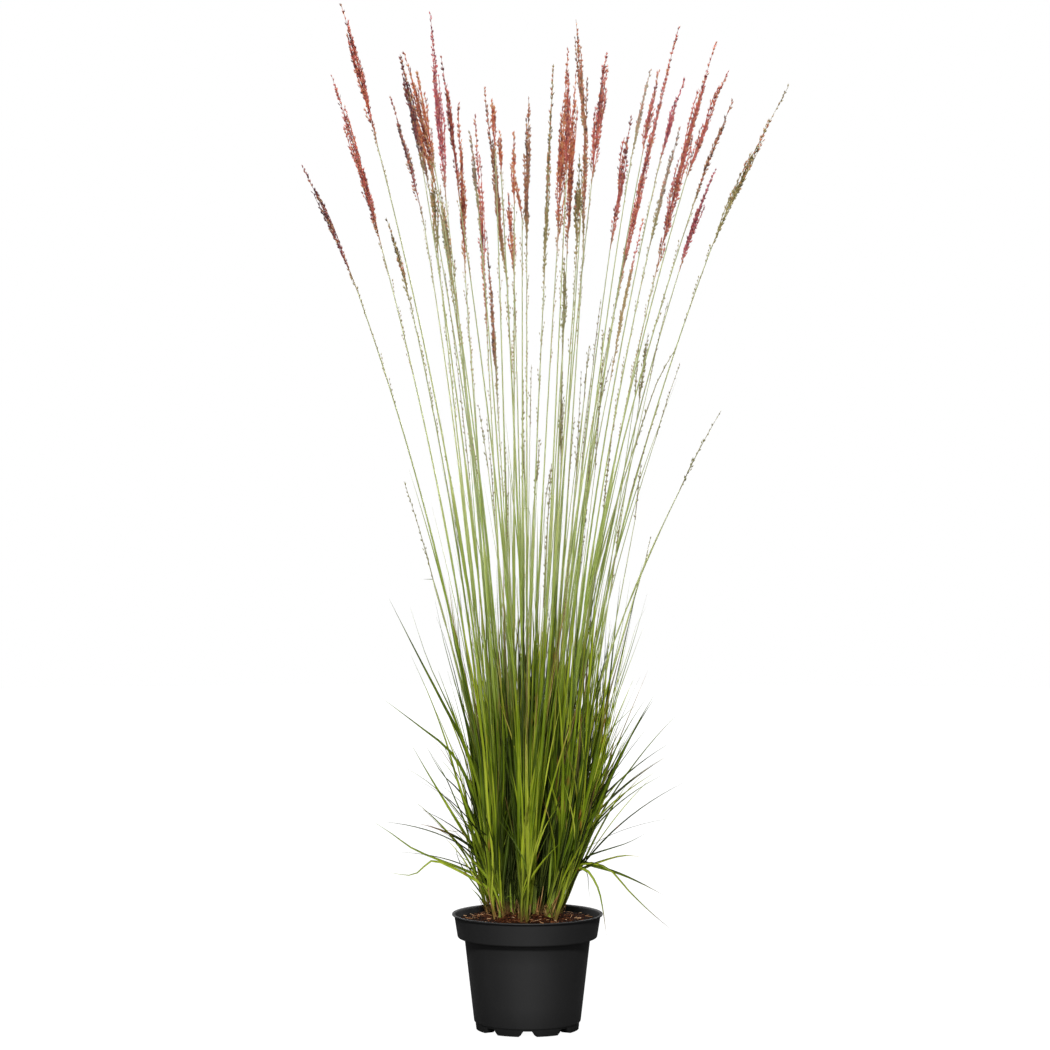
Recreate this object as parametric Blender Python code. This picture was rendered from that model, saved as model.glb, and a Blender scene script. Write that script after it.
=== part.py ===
"""Feather reed grass in a black nursery pot, at its real size.

The pot is turned from one profile, with foot notches and drain holes cut out. Peat fills it to just
under the lip. The clump is thirteen tufts. A tuft is one crown, standing in a plain hole in the peat,
with the leaves and the flowering stems that grow from it. Each tall stem is cut square at its top and
carries one plume. Lower green panicles are one with their stems.

Metres, +Z up. The origin is the middle of the face that the pot rests on, and -Y is the front.
"""
import math
import random
from collections import Counter, namedtuple

import bpy
from mathutils import Vector, noise
from mathutils.bvhtree import BVHTree

MM = 0.001
GAP = 0.3 * MM
SEED = 41

# Pot
POT_SEGMENTS = 36
POT_HEIGHT = 0.175
LIP_RADIUS = 0.115
LIP_HEIGHT = 0.003
BAND_TOP_RADIUS = 0.1116
BAND_FOOT_RADIUS = 0.1067
BAND_FOOT_HEIGHT = 0.1385
BODY_TOP_RADIUS = 0.096
BODY_FOOT_RADIUS = 0.0814
FOOT_RADIUS = 0.0788
FOOT_HEIGHT = 0.0105
FLOOR_TOP = 0.0125
WALL = 0.002
BOSS_RADIUS = 0.020
NOTCH_COUNT = 8
NOTCH_HEIGHT = 0.0084
NOTCH_TOP_WIDTH = 0.0126
NOTCH_FOOT_WIDTH = 0.031
DRAIN_COUNT = 8
DRAIN_RADIUS = 0.005
DRAIN_CIRCLE = 0.052
DRAIN_SIDES = 8

# Peat and crowns
PEAT_LEVEL = 0.163
PEAT_MOUND = 0.0095
PEAT_BUMP = 0.0011
PEAT_RINGS = 5
CROWN_RADIUS = 0.0122
CROWN_SIDES = 8
CROWN_DEPTH = 0.040
CROWN_RISE = 0.0095
ROOT_RISE = 0.0042
CLUMP_X = -0.004
RING_RADII = (0.0, 0.0275, 0.0545)
RING_COUNTS = (1, 5, 7)

# Stems and plumes
STEM_ROOT_RADIUS = 0.0022
STEM_TOP_RADIUS = 0.0011
STEM_POINTS = 5
STEMS_PER_CROWN = 6
PLUME_DEPTH = 0.32
SPREAD_LIMIT = 0.42
BAND_LENGTH = 0.034

# Leaves
LEAF_THICKNESS = 0.0013
LEAVES_PER_CROWN = (13, 14, 16)
STEM_LEAF_LOW = 0.10
STEM_LEAF_HIGH = 0.32

# Sideways places and heights below are read in a front view from this point.
EYE = Vector((-0.0037, -4.2, 0.766))

COLOURS = {
    "plastic": (0.019, 0.019, 0.021),
    "peat": (0.075, 0.034, 0.017),
    "leaf": (0.155, 0.270, 0.035),
    "red": (0.300, 0.075, 0.060),
    "pink": (0.360, 0.110, 0.110),
    "rust": (0.350, 0.130, 0.055),
    "brown": (0.230, 0.120, 0.065),
    "purple": (0.150, 0.060, 0.065),
    "olive": (0.210, 0.200, 0.070),
    "grey": (0.300, 0.260, 0.220),
}

# One row a plume: tip x, tip z, foot x, foot z and half width in millimetres, and colour.
Plume = namedtuple("Plume", "tip_x tip_z foot_x foot_z half_width colour")
PLUMES = [Plume(*row) for row in (
    (-344, 1314, -260, 1125, 4, "purple"),
    (-298, 1449, -223, 1192, 7, "red"),
    (-283, 1556, -229, 1346, 6, "red"),
    (-215, 1234, -176, 1094, 4, "olive"),
    (-208, 1416, -158, 1227, 4, "purple"),
    (-194, 1483, -158, 1300, 5, "purple"),
    (-187, 1484, -139, 1276, 8, "rust"),
    (-178, 1414, -151, 1283, 5, "purple"),
    (-168, 1454, -142, 1315, 5, "rust"),
    (-148, 1543, -124, 1260, 6, "pink"),
    (-147, 1323, -136, 1173, 5, "olive"),
    (-133, 1277, -109, 1100, 6, "olive"),
    (-131, 1477, -103, 1257, 5, "red"),
    (-106, 1407, -95, 1149, 6, "rust"),
    (-87, 1361, -74, 1239, 3, "grey"),
    (-80, 1388, -62, 1065, 5, "red"),
    (-66, 1430, -31, 1128, 6, "brown"),
    (-62, 1210, -46, 957, 3, "brown"),
    (-55, 1413, -49, 1330, 4, "rust"),
    (-42, 1363, -40, 1300, 3, "rust"),
    (-30, 1273, -20, 1140, 5, "rust"),
    (-21, 1361, -20, 1251, 4, "rust"),
    (-18, 1297, -8, 1231, 3, "rust"),
    (2, 1419, -1, 1178, 6, "brown"),
    (40, 1468, 25, 1126, 4, "olive"),
    (62, 1490, 45, 1183, 8, "rust"),
    (62, 1455, 59, 1292, 4, "red"),
    (74, 1536, 88, 1337, 5, "brown"),
    (74, 1457, 60, 1173, 6, "rust"),
    (80, 1326, 74, 1157, 5, "olive"),
    (91, 1448, 85, 1181, 4, "brown"),
    (120, 1482, 98, 1289, 8, "red"),
    (158, 1385, 126, 1186, 5, "red"),
    (188, 1460, 158, 1323, 3, "grey"),
    (201, 1460, 175, 1330, 5, "red"),
    (176, 1231, 126, 986, 3, "red"),
    (231, 1526, 140, 1126, 6, "red"),
    (232, 1370, 185, 1186, 3, "grey"),
    (239, 1445, 201, 1317, 4, "pink"),
    (286, 1498, 194, 1143, 8, "red"),
    (287, 1308, 231, 1152, 5, "pink"),
    (304, 1454, 242, 1294, 6, "red"),
    (312, 1410, 248, 1239, 3, "brown"),
    (397, 1433, 281, 1190, 5, "olive"),
)]
PANICLES = [Plume(*row, "leaf") for row in (
    (-188, 832, -144, 683, 3),
    (-126, 876, -100, 730, 3),
    (-75, 949, -60, 852, 3),
    (-34, 885, -30, 747, 3),
    (-8, 931, -5, 838, 4),
    (16, 861, 9, 791, 4),
    (37, 858, 31, 774, 3),
    (56, 1148, 53, 1026, 5),
    (56, 957, 51, 843, 4),
    (94, 1039, 89, 986, 3),
    (115, 1062, 112, 995, 3),
    (228, 1038, 196, 980, 2),
    (295, 940, 233, 821, 3),
    (188, 748, 181, 716, 2),
)]

# Leaves that stand clear of the clump: width, then x and z from the clump to the tip, in millimetres.
STRAY_LEAVES = (
    (6.5, (-75, 375), (-100, 439), (-132, 501), (-162, 558), (-208, 648)),
    (6.0, (-90, 420), (-113, 477), (-138, 527), (-162, 588), (-177, 636)),
    (4.0, (-97, 346), (-126, 442), (-153, 514), (-176, 564)),
    (6.5, (-90, 375), (-126, 430), (-177, 468), (-220, 501)),
    (5.5, (-84, 277), (-106, 312), (-153, 390), (-176, 430)),
    (4.0, (-94, 347), (-110, 360), (-132, 390), (-153, 427)),
    (6.5, (-71, 238), (-107, 285), (-123, 297), (-162, 337)),
    (4.0, (-78, 279), (-100, 312), (-132, 319)),
    (5.0, (-73, 190), (-91, 203), (-110, 225), (-147, 251), (-176, 270), (-206, 296), (-232, 312)),
    (5.0, (-70, 195), (-115, 232), (-137, 258), (-159, 248), (-182, 232), (-215, 236)),
    (3.5, (-74, 183), (-113, 212)),
    (4.0, (98, 400), (114, 436), (137, 465), (169, 495)),
    (5.0, (88, 310), (105, 355), (130, 402), (164, 460)),
    (4.5, (82, 275), (98, 306), (149, 358), (179, 390)),
    (4.0, (72, 240), (95, 262), (149, 280), (182, 297)),
    (7.0, (58, 212), (86, 229), (117, 247), (155, 262), (187, 261)),
    (6.5, (74, 240), (88, 255), (124, 245), (175, 232), (240, 206)),
    (4.5, (70, 238), (92, 253), (124, 244), (175, 192), (231, 146)),
    (5.0, (62, 232), (80, 247), (101, 232), (118, 203), (131, 143)),
)

Crown = namedtuple("Crown", "x y ring")
Shape = namedtuple("Shape", "verts faces")


# Meshes and materials

def material(name, colour, roughness):
    """A Principled material of one colour."""
    made = bpy.data.materials.new(name)
    made.use_nodes = True
    shader = made.node_tree.nodes["Principled BSDF"]
    shader.inputs["Base Color"].default_value = (*colour, 1.0)
    shader.inputs["Roughness"].default_value = roughness
    shader.inputs["Metallic"].default_value = 0.0
    made.diffuse_color = (*colour, 1.0)
    return made


def new_object(name, shape, surface=None):
    """An object made from a shape's points and faces."""
    mesh = bpy.data.meshes.new(name)
    mesh.from_pydata(shape.verts, [], shape.faces)
    mesh.update()
    made = bpy.data.objects.new(name, mesh)
    bpy.context.scene.collection.objects.link(made)
    if surface:
        mesh.materials.append(surface)
    return made


def join_shapes(shapes):
    """Several separate shapes as one list of points and faces."""
    verts = []
    faces = []
    for shape in shapes:
        start = len(verts)
        verts.extend(shape.verts)
        faces.extend([tuple(index + start for index in face) for face in shape.faces])
    return Shape(verts, faces)


def ring(radius, height, sides, centre=(0.0, 0.0), turn=0.0):
    """Points of a level circle."""
    points = []
    for step in range(sides):
        angle = turn + step * math.tau / sides
        x = centre[0] + radius * math.cos(angle)
        y = centre[1] + radius * math.sin(angle)
        points.append(Vector((x, y, height)))
    return points


def lofted(rings):
    """Closed solid through rings of equal size, each seen anticlockwise from the one above it."""
    sides = len(rings[0])
    verts = [point for level in rings for point in level]
    faces = [tuple(reversed(range(sides)))]
    for level in range(len(rings) - 1):
        low = level * sides
        high = low + sides
        for side in range(sides):
            after = (side + 1) % sides
            faces.append((low + side, low + after, high + after, high + side))
    faces.append(tuple(range(len(verts) - sides, len(verts))))
    return Shape(verts, faces)


def cut(body, cutter_shapes):
    """Takes the cutter shapes away from a body."""
    cutter = new_object(body.name + "_cutter", join_shapes(cutter_shapes))
    cutter.hide_render = True
    cutter.display_type = "WIRE"
    modifier = body.modifiers.new("cut", "BOOLEAN")
    modifier.operation = "DIFFERENCE"
    modifier.object = cutter


# Pot

def pot_profile():
    """Radius and height of the pot's section: boss, underside, outside, lip, inside, floor."""
    band_inner = BAND_FOOT_RADIUS - WALL
    ledge = BAND_FOOT_HEIGHT + WALL
    floor_under = FLOOR_TOP - WALL
    lip_foot = POT_HEIGHT - LIP_HEIGHT
    return (
        (BOSS_RADIUS, 0.0),
        (BOSS_RADIUS, floor_under),
        (FOOT_RADIUS - WALL, floor_under),
        (FOOT_RADIUS - WALL, 0.0),
        (FOOT_RADIUS, 0.0),
        (FOOT_RADIUS, FOOT_HEIGHT),
        (BODY_FOOT_RADIUS, FLOOR_TOP),
        (BODY_TOP_RADIUS, BAND_FOOT_HEIGHT),
        (BAND_FOOT_RADIUS - 3.2 * MM, BAND_FOOT_HEIGHT),
        (BAND_FOOT_RADIUS - 0.9 * MM, BAND_FOOT_HEIGHT + 1.0 * MM),
        (BAND_FOOT_RADIUS, BAND_FOOT_HEIGHT + 4.0 * MM),
        (BAND_TOP_RADIUS, lip_foot),
        (LIP_RADIUS - 0.5 * MM, lip_foot + 0.7 * MM),
        (LIP_RADIUS, lip_foot + 1.7 * MM),
        (LIP_RADIUS - 0.9 * MM, POT_HEIGHT),
        (BAND_TOP_RADIUS, POT_HEIGHT - 0.4 * MM),
        (BAND_TOP_RADIUS - WALL, lip_foot - 0.5 * MM),
        (band_inner, ledge),
        (BODY_TOP_RADIUS - WALL, ledge),
        (BODY_FOOT_RADIUS - WALL, FLOOR_TOP),
    )


def foot_notch(angle):
    """A wedge that cuts one notch out of the foot ring, wider at the bottom."""
    inner = FOOT_RADIUS - 3.0 * WALL
    outer = FOOT_RADIUS + 3.0 * WALL
    out = Vector((math.cos(angle), math.sin(angle), 0.0))
    side = Vector((-out.y, out.x, 0.0))
    levels = ((-2.0 * MM, NOTCH_FOOT_WIDTH), (NOTCH_HEIGHT, NOTCH_TOP_WIDTH))
    rings = []
    for height, width in levels:
        up = Vector((0.0, 0.0, height))
        half = side * (width / 2.0)
        rings.append([out * inner - half + up, out * outer - half + up,
                      out * outer + half + up, out * inner + half + up])
    return lofted(rings)


def drain_hole(angle):
    """A cutter for one round drain hole in the floor."""
    centre = (DRAIN_CIRCLE * math.cos(angle), DRAIN_CIRCLE * math.sin(angle))
    levels = (FLOOR_TOP - 2.0 * WALL, FLOOR_TOP + WALL)
    return lofted([ring(DRAIN_RADIUS, height, DRAIN_SIDES, centre) for height in levels])


def make_pot():
    """The pot, with its notches and drain holes."""
    shape = lofted([ring(radius, height, POT_SEGMENTS) for radius, height in pot_profile()])
    pot = new_object("pot", shape, material("pot", COLOURS["plastic"], 0.45))
    cutters = [foot_notch(step * math.tau / NOTCH_COUNT - math.pi / 2.0) for step in range(NOTCH_COUNT)]
    cutters += [drain_hole((step + 0.5) * math.tau / DRAIN_COUNT) for step in range(DRAIN_COUNT)]
    cut(pot, cutters)
    pot.data.shade_smooth()
    pot.data.set_sharp_from_angle(angle=math.radians(35.0))


# Peat

def mound_height(x, y):
    """Height of the peat without its bumps: level at the wall and mounded under the clump."""
    reach = math.hypot(x, y) / BAND_TOP_RADIUS
    return PEAT_LEVEL + PEAT_MOUND * (1.0 - reach ** 3)


def peat_height(x, y):
    """Height of the peat's bumpy top."""
    bump = noise.noise(Vector((x, y, 0.0)) * 60.0) + 0.6 * noise.noise(Vector((x, y, 0.1)) * 130.0)
    return mound_height(x, y) + PEAT_BUMP * bump


def crown_places():
    """Middle of each crown: one in the middle and two rings round it."""
    crowns = []
    for level, (radius, count) in enumerate(zip(RING_RADII, RING_COUNTS)):
        for step in range(count):
            angle = (step + 0.5 * level) * math.tau / count - math.pi / 2.0
            crowns.append(Crown(CLUMP_X + radius * math.cos(angle), radius * math.sin(angle), level))
    return crowns


def make_peat(crowns):
    """The peat that fills the pot, with a plain hole for each crown."""
    ledge = BAND_FOOT_HEIGHT + WALL + GAP
    band_inner = BAND_FOOT_RADIUS - WALL
    rise = (PEAT_LEVEL - BAND_FOOT_HEIGHT) / (POT_HEIGHT - LIP_HEIGHT - BAND_FOOT_HEIGHT)
    top_radius = band_inner + (BAND_TOP_RADIUS - BAND_FOOT_RADIUS) * rise - 2.0 * GAP
    sides = (
        (BODY_FOOT_RADIUS - WALL - GAP, FLOOR_TOP + GAP),
        (BODY_TOP_RADIUS - WALL - GAP, ledge),
        (band_inner - GAP, ledge),
    )
    rings = [ring(radius, height, POT_SEGMENTS) for radius, height in sides]
    for level in range(PEAT_RINGS):
        radius = top_radius * (1.0 - level / PEAT_RINGS)
        points = ring(radius, 0.0, POT_SEGMENTS)
        rings.append([Vector((p.x, p.y, peat_height(p.x, p.y))) for p in points])
    peat = new_object("peat", lofted(rings), material("peat", COLOURS["peat"], 0.95))
    holes = []
    for crown in crowns:
        centre = (crown.x, crown.y)
        low = PEAT_LEVEL - CROWN_DEPTH
        high = POT_HEIGHT + 0.02
        holes.append(lofted([ring(CROWN_RADIUS + GAP, height, CROWN_SIDES, centre) for height in (low, high)]))
    cut(peat, holes)


# Long thin shapes

def tube(rings):
    """Closed shape through rings of three points, drawn to a point at its end."""
    verts = [point for level in rings for point in level]
    apex = len(verts)
    middle = sum(rings[-1], Vector()) / 3.0
    below = sum(rings[-2], Vector()) / 3.0
    verts.append(middle + (middle - below) * 0.3)
    faces = [(2, 1, 0)]
    for low in range(0, apex - 3, 3):
        for side in range(3):
            after = (side + 1) % 3
            faces.append((low + side, low + after, low + 3 + after))
            faces.append((low + side, low + 3 + after, low + 3 + side))
    for side in range(3):
        faces.append((apex - 3 + side, apex - 3 + (side + 1) % 3, apex))
    return Shape(verts, faces)


def tangent(points, index):
    """Direction of a path at one of its points."""
    before = points[max(index - 1, 0)]
    after = points[min(index + 1, len(points) - 1)]
    return (after - before).normalized()


def section(centre, along, radius, turn):
    """Three points round a path, the first turned by an angle."""
    side = along.cross(Vector((0.0, 1.0, 0.0))).normalized()
    back = along.cross(side)
    points = []
    for corner in range(3):
        angle = turn + corner * math.tau / 3.0
        points.append(centre + (side * math.cos(angle) + back * math.sin(angle)) * radius)
    return points


def rod(points, root_radius, top_radius):
    """Three-sided stem along a path, cut square at its top."""
    rings = []
    for index, point in enumerate(points):
        share = index / (len(points) - 1)
        radius = root_radius + (top_radius - root_radius) * share
        rings.append(section(point, tangent(points, index), radius, 0.0))
    shape = tube(rings)
    last = len(shape.verts) - 1
    sides = [face for face in shape.faces if last not in face]
    return Shape(shape.verts[:-1], sides + [(last - 3, last - 2, last - 1)])


def blade(points, width, side, thickness=LEAF_THICKNESS):
    """Leaf along a path: narrow at its root, keeled below, drawn out to a point."""
    rings = []
    for index, point in enumerate(points):
        share = index / (len(points) - 1)
        along = tangent(points, index)
        across = (side - along * side.dot(along)).normalized()
        under = along.cross(across)
        full = min(0.45 + 2.2 * share, 1.0) * (1.0 - share ** 3)
        half = across * (max(full, 0.16) * width / 2.0)
        keel = under * (thickness * max(1.0 - share, 0.6))
        rings.append([point + half, point + keel, point - half])
    return tube(rings)


def feather(points, half_width, rng):
    """Plume: a slim core with every facet drawn out into a spikelet that points up and out."""
    last = len(points) - 2
    rings = []
    for index, point in enumerate(points[:-1]):
        share = index / last
        radius = STEM_TOP_RADIUS * (0.8 + 0.8 * math.sin(math.pi * min(share + 0.1, 1.0)))
        rings.append(section(point, tangent(points, index), radius * (1.0 - 0.55 * share), index * math.pi / 3.0))
    verts = [point for level in rings for point in level]
    apex = len(verts)
    verts.append(points[-1])
    faces = [(2, 1, 0)]
    for level in range(last):
        low = level * 3
        height = (points[level + 1] - points[level]).length
        middle = (points[level] + points[level + 1]) / 2.0
        along = (points[level + 1] - points[level]).normalized()
        for side in range(3):
            after = (side + 1) % 3
            corners = ((low + side, low + after, low + 3 + side), (low + after, low + 3 + after, low + 3 + side))
            for facet in corners:
                centre = sum((verts[index] for index in facet), Vector()) / 3.0
                out = centre - middle
                out = (out - along * out.dot(along)).normalized()
                share = (level + 0.5) / last
                reach = half_width * math.sin(math.pi * (0.15 + 0.75 * share)) * rng.uniform(0.55, 1.1)
                verts.append(centre + out * reach + along * height * rng.uniform(0.55, 0.95))
                spike = len(verts) - 1
                faces.extend([(facet[0], facet[1], spike), (facet[1], facet[2], spike), (facet[2], facet[0], spike)])
    for side in range(3):
        faces.append((apex - 3 + side, apex - 3 + (side + 1) % 3, apex))
    return Shape(verts, faces)


# Keeping shapes clear of each other

class Clearance:
    """Knows the shapes already placed, so that a new one can be kept off them."""

    ROOT_ZONE = PEAT_LEVEL + PEAT_MOUND + 0.045

    def __init__(self):
        self.placed = []

    @staticmethod
    def record(shape, crown):
        """Box, whole tree and tree of the part above the root zone."""
        low = Vector([min(v[axis] for v in shape.verts) for axis in range(3)])
        high = Vector([max(v[axis] for v in shape.verts) for axis in range(3)])
        upper = [face for face in shape.faces if max(shape.verts[i].z for i in face) > Clearance.ROOT_ZONE]
        whole_tree = BVHTree.FromPolygons(shape.verts, shape.faces)
        upper_tree = BVHTree.FromPolygons(shape.verts, upper) if upper else None
        return low, high, whole_tree, upper_tree, crown

    def free(self, shape, crown):
        """True when the shape crosses nothing. Shapes of one crown may cross in their root zone."""
        low, high, whole, upper, _ = self.record(shape, crown)
        for other_low, other_high, other_whole, other_upper, other_crown in self.placed:
            if any(low[a] > other_high[a] or high[a] < other_low[a] for a in range(3)):
                continue
            if crown is not None and crown == other_crown:
                if upper and other_upper and upper.overlap(other_upper):
                    return False
            elif whole.overlap(other_whole):
                return False
        return True

    def add(self, shape, crown):
        self.placed.append(self.record(shape, crown))


# Stems and plumes

def seen(x, z, depth):
    """The point at a depth that shows at x and z (in millimetres) in the front view from EYE."""
    scale = (depth - EYE.y) / -EYE.y
    return Vector((EYE.x + (x * MM - EYE.x) * scale, depth, EYE.z + (z * MM - EYE.z) * scale))


def spread_depth(x, order, most):
    """Depth for the nth thing at sideways place x: golden-ratio steps inside a round clump."""
    share = (0.31 + order * 0.618034) % 1.0
    room = math.sqrt(max(1.0 - (x * MM / SPREAD_LIMIT) ** 2, 0.1))
    return (2.0 * share - 1.0) * most * room


def stem_path(root, foot, tip, count):
    """Points from the root to the plume's foot, meeting the plume in its own direction."""
    chord = Vector((foot.x - root.x, foot.y - root.y)) / (foot.z - root.z)
    slope = Vector((tip.x - foot.x, tip.y - foot.y)) / (tip.z - foot.z)
    power = min(max(slope.dot(chord) / max(chord.dot(chord), 1e-6), 1.0), 1.7)
    points = []
    for step in range(count):
        share = step / (count - 1)
        across = root.xy.lerp(foot.xy, share ** power)
        points.append(Vector((across.x, across.y, root.z + (foot.z - root.z) * share)))
    return points


def plume_path(foot, tip, bands):
    """Points from the plume's foot to its tip, nodding a little outwards."""
    points = []
    for step in range(bands + 2):
        share = step / (bands + 1)
        nod = share + 0.15 * share * (share - 1.0)
        across = foot.xy.lerp(tip.xy, nod)
        points.append(Vector((across.x, across.y, foot.z + (tip.z - foot.z) * share)))
    return points


class Clump:
    """The crowns and what has been placed on each."""

    def __init__(self, crowns):
        self.crowns = crowns
        self.shapes = [[] for _ in crowns]
        self.stems = [[] for _ in crowns]
        self.clearance = Clearance()
        self.rng = random.Random(SEED)

    def nearest_crown(self, foot):
        """The crown that a stem with this foot would grow from, if the clump fans out evenly."""
        aim = Vector((CLUMP_X + foot.x * 0.26, foot.y * 0.26))
        free = [i for i, stems in enumerate(self.stems) if len(stems) < STEMS_PER_CROWN]
        return min(free, key=lambda i: (Vector((self.crowns[i].x, self.crowns[i].y)) - aim).length)

    def root_point(self, crown, reach):
        """A point in a crown, some way under its top."""
        angle = self.rng.uniform(0.0, math.tau)
        radius = CROWN_RADIUS * reach * math.sqrt(self.rng.random())
        place = self.crowns[crown]
        height = mound_height(place.x, place.y) + ROOT_RISE
        return Vector((place.x + radius * math.cos(angle), place.y + radius * math.sin(angle), height))

    def keep(self, shape, crown):
        self.clearance.add(shape, crown)
        self.shapes[crown].append(shape)

    def place_stem(self, row, order, fused):
        """Places one stem with its plume, trying depths in turn. Gives the plume's shape."""
        for attempt in range(60):
            depth = spread_depth(row.tip_x, order + attempt * 7, PLUME_DEPTH * row.tip_z / PLUMES[2].tip_z)
            tip = seen(row.tip_x, row.tip_z, depth)
            foot = seen(row.foot_x, row.foot_z, depth * (row.foot_z / row.tip_z) ** 1.3)
            crown = self.nearest_crown(foot)
            root = self.root_point(crown, 0.6)
            path = stem_path(root, foot, tip, STEM_POINTS)
            lift = -2.0 * MM if fused else GAP
            start = foot + (tip - foot).normalized() * lift
            bands = min(max(round((tip - foot).length / BAND_LENGTH), 3), 8)
            stem = rod(path, STEM_ROOT_RADIUS, STEM_TOP_RADIUS)
            wide_stem = rod(path, STEM_ROOT_RADIUS + 2.0 * GAP, STEM_TOP_RADIUS + 2.0 * GAP)
            shape_seed = SEED + order
            half_width = row.half_width * MM
            plume = feather(plume_path(start, tip, bands), half_width, random.Random(shape_seed))
            wide_plume = feather(plume_path(start, tip, bands), half_width + 3.0 * GAP, random.Random(shape_seed))
            if self.clearance.free(wide_stem, crown) and self.clearance.free(wide_plume, None):
                break
        self.keep(stem, crown)
        self.stems[crown].append(path)
        if fused:
            self.keep(plume, crown)
        else:
            self.clearance.add(plume, None)
        return plume

    # Leaves

    def fan(self, root, height):
        """Where a leaf from this root stands at a height above it: the clump widens as it rises."""
        grow = 1.0 + 0.5 * (1.0 - math.exp(-height / 0.06)) + 1.1 * height
        middle = CLUMP_X + 0.036 * height
        return Vector((middle + (root.x - CLUMP_X) * grow, root.y * grow))

    def leaf_path(self, root, height, lean, droop, count):
        """Points of a leaf that rises, leans and may level off at its tip."""
        points = []
        for step in range(count):
            share = step / (count - 1)
            rise = height * (share - droop * share ** 3) / (1.0 - droop)
            across = self.fan(root, rise) + lean * share ** 2
            points.append(Vector((across.x, across.y, root.z + rise)))
        return points

    def try_leaf(self, crown, points, width, side):
        """Keeps a leaf if it crosses nothing."""
        wide = blade(points, width + 2.0 * GAP, side, LEAF_THICKNESS + 2.0 * GAP)
        if not self.clearance.free(wide, crown):
            return False
        self.keep(blade(points, width, side), crown)
        return True

    def place_leaf(self, crown):
        """Places one leaf that grows from a crown."""
        rng = self.rng
        for _ in range(40):
            root = self.root_point(crown, 0.8)
            out = Vector((root.x - CLUMP_X, root.y)) * 1.0
            height = rng.uniform(0.27, 0.52)
            lean = out * rng.uniform(-0.1, 0.9) + Vector((rng.gauss(0.0, 0.016), rng.gauss(0.0, 0.016)))
            yaw = math.atan2(out.y, out.x) + math.pi / 2.0 + rng.gauss(0.0, 0.7)
            side = Vector((math.cos(yaw), math.sin(yaw), 0.0))
            width = rng.uniform(5.5, 9.0) * MM
            points = self.leaf_path(root, height, lean, rng.uniform(0.0, 0.15), 4)
            if self.try_leaf(crown, points, width, side):
                return

    def place_stem_leaf(self, crown, path):
        """Places one leaf that leaves a stem some way up."""
        rng = self.rng
        for _ in range(25):
            start = rng.uniform(STEM_LEAF_LOW, STEM_LEAF_HIGH)
            height = rng.uniform(0.20, 0.34)
            heading = rng.uniform(0.0, math.tau)
            lean = Vector((math.cos(heading), math.sin(heading))) * rng.uniform(0.015, 0.05)
            points = []
            for step in range(4):
                share = step / 3.0
                level = start + height * share
                on_stem = point_at_height(path, PEAT_LEVEL + level)
                points.append(on_stem + Vector((lean.x, lean.y, 0.0)) * share ** 1.3)
            side = Vector((-lean.y, lean.x, 0.0)).normalized()
            if self.try_leaf(crown, points, rng.uniform(4.0, 6.5) * MM, side):
                return

    def place_stray(self, row, order):
        """Places one leaf that stands clear of the clump, through its own points."""
        width = row[0] * MM
        start_x = row[1][0]
        rng = random.Random(SEED + 100 + order)
        for attempt in range(60):
            depth = 0.05 * math.sin(1.0 + 2.4 * (order + attempt))
            aim = Vector((start_x * MM * 0.8, depth))
            crown = min(range(len(self.crowns)),
                        key=lambda i: (Vector((self.crowns[i].x, self.crowns[i].y)) - aim).length)
            root = self.root_point(crown, 0.7)
            shown = [seen(x, z, depth * (1.0 + 0.25 * step)) for step, (x, z) in enumerate(row[1:])]
            middle = root.lerp(shown[0], 0.5)
            middle.x += 0.25 * (root.x - shown[0].x)
            points = smooth_path([root, middle] + shown, 7)
            side = Vector((1.0, rng.uniform(-0.8, 0.8), -math.copysign(1.0, start_x)))
            if self.try_leaf(crown, points, width, side):
                return


def point_at_height(path, height):
    """The point of a rising path at a height."""
    for low, high in zip(path, path[1:]):
        if high.z >= height:
            return low.lerp(high, (height - low.z) / (high.z - low.z))
    return path[-1]


def smooth_path(knots, count):
    """Evenly spaced points on a Catmull-Rom curve through the knots."""
    fine = []
    for index in range(len(knots) - 1):
        before = knots[max(index - 1, 0)]
        start = knots[index]
        end = knots[index + 1]
        after = knots[min(index + 2, len(knots) - 1)]
        for step in range(8):
            t = step / 8.0
            fine.append(0.5 * (2.0 * start + (end - before) * t
                               + (2.0 * before - 5.0 * start + 4.0 * end - after) * t ** 2
                               + (3.0 * start - before - 3.0 * end + after) * t ** 3))
    fine.append(knots[-1])
    lengths = [0.0]
    for low, high in zip(fine, fine[1:]):
        lengths.append(lengths[-1] + (high - low).length)
    points = []
    for step in range(count):
        wanted = lengths[-1] * step / (count - 1)
        index = max(i for i, length in enumerate(lengths) if length <= wanted + 1e-9)
        if index >= len(fine) - 1:
            points.append(fine[-1])
        else:
            share = (wanted - lengths[index]) / (lengths[index + 1] - lengths[index])
            points.append(fine[index].lerp(fine[index + 1], share))
    return points


# Tufts

def crown_shape(crown):
    """The crown: a short round plug with a low domed top."""
    centre = (crown.x, crown.y)
    soil = mound_height(crown.x, crown.y)
    levels = (
        (CROWN_RADIUS, PEAT_LEVEL - CROWN_DEPTH + GAP),
        (CROWN_RADIUS, soil + 0.7 * CROWN_RISE),
        (CROWN_RADIUS * 0.7, soil + CROWN_RISE),
    )
    return lofted([ring(radius, height, CROWN_SIDES, centre) for radius, height in levels])


def is_closed(mesh):
    """True when every edge of a mesh lies between exactly two faces."""
    uses = Counter(key for polygon in mesh.polygons for key in polygon.edge_keys)
    return all(count == 2 for count in uses.values())


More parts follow.
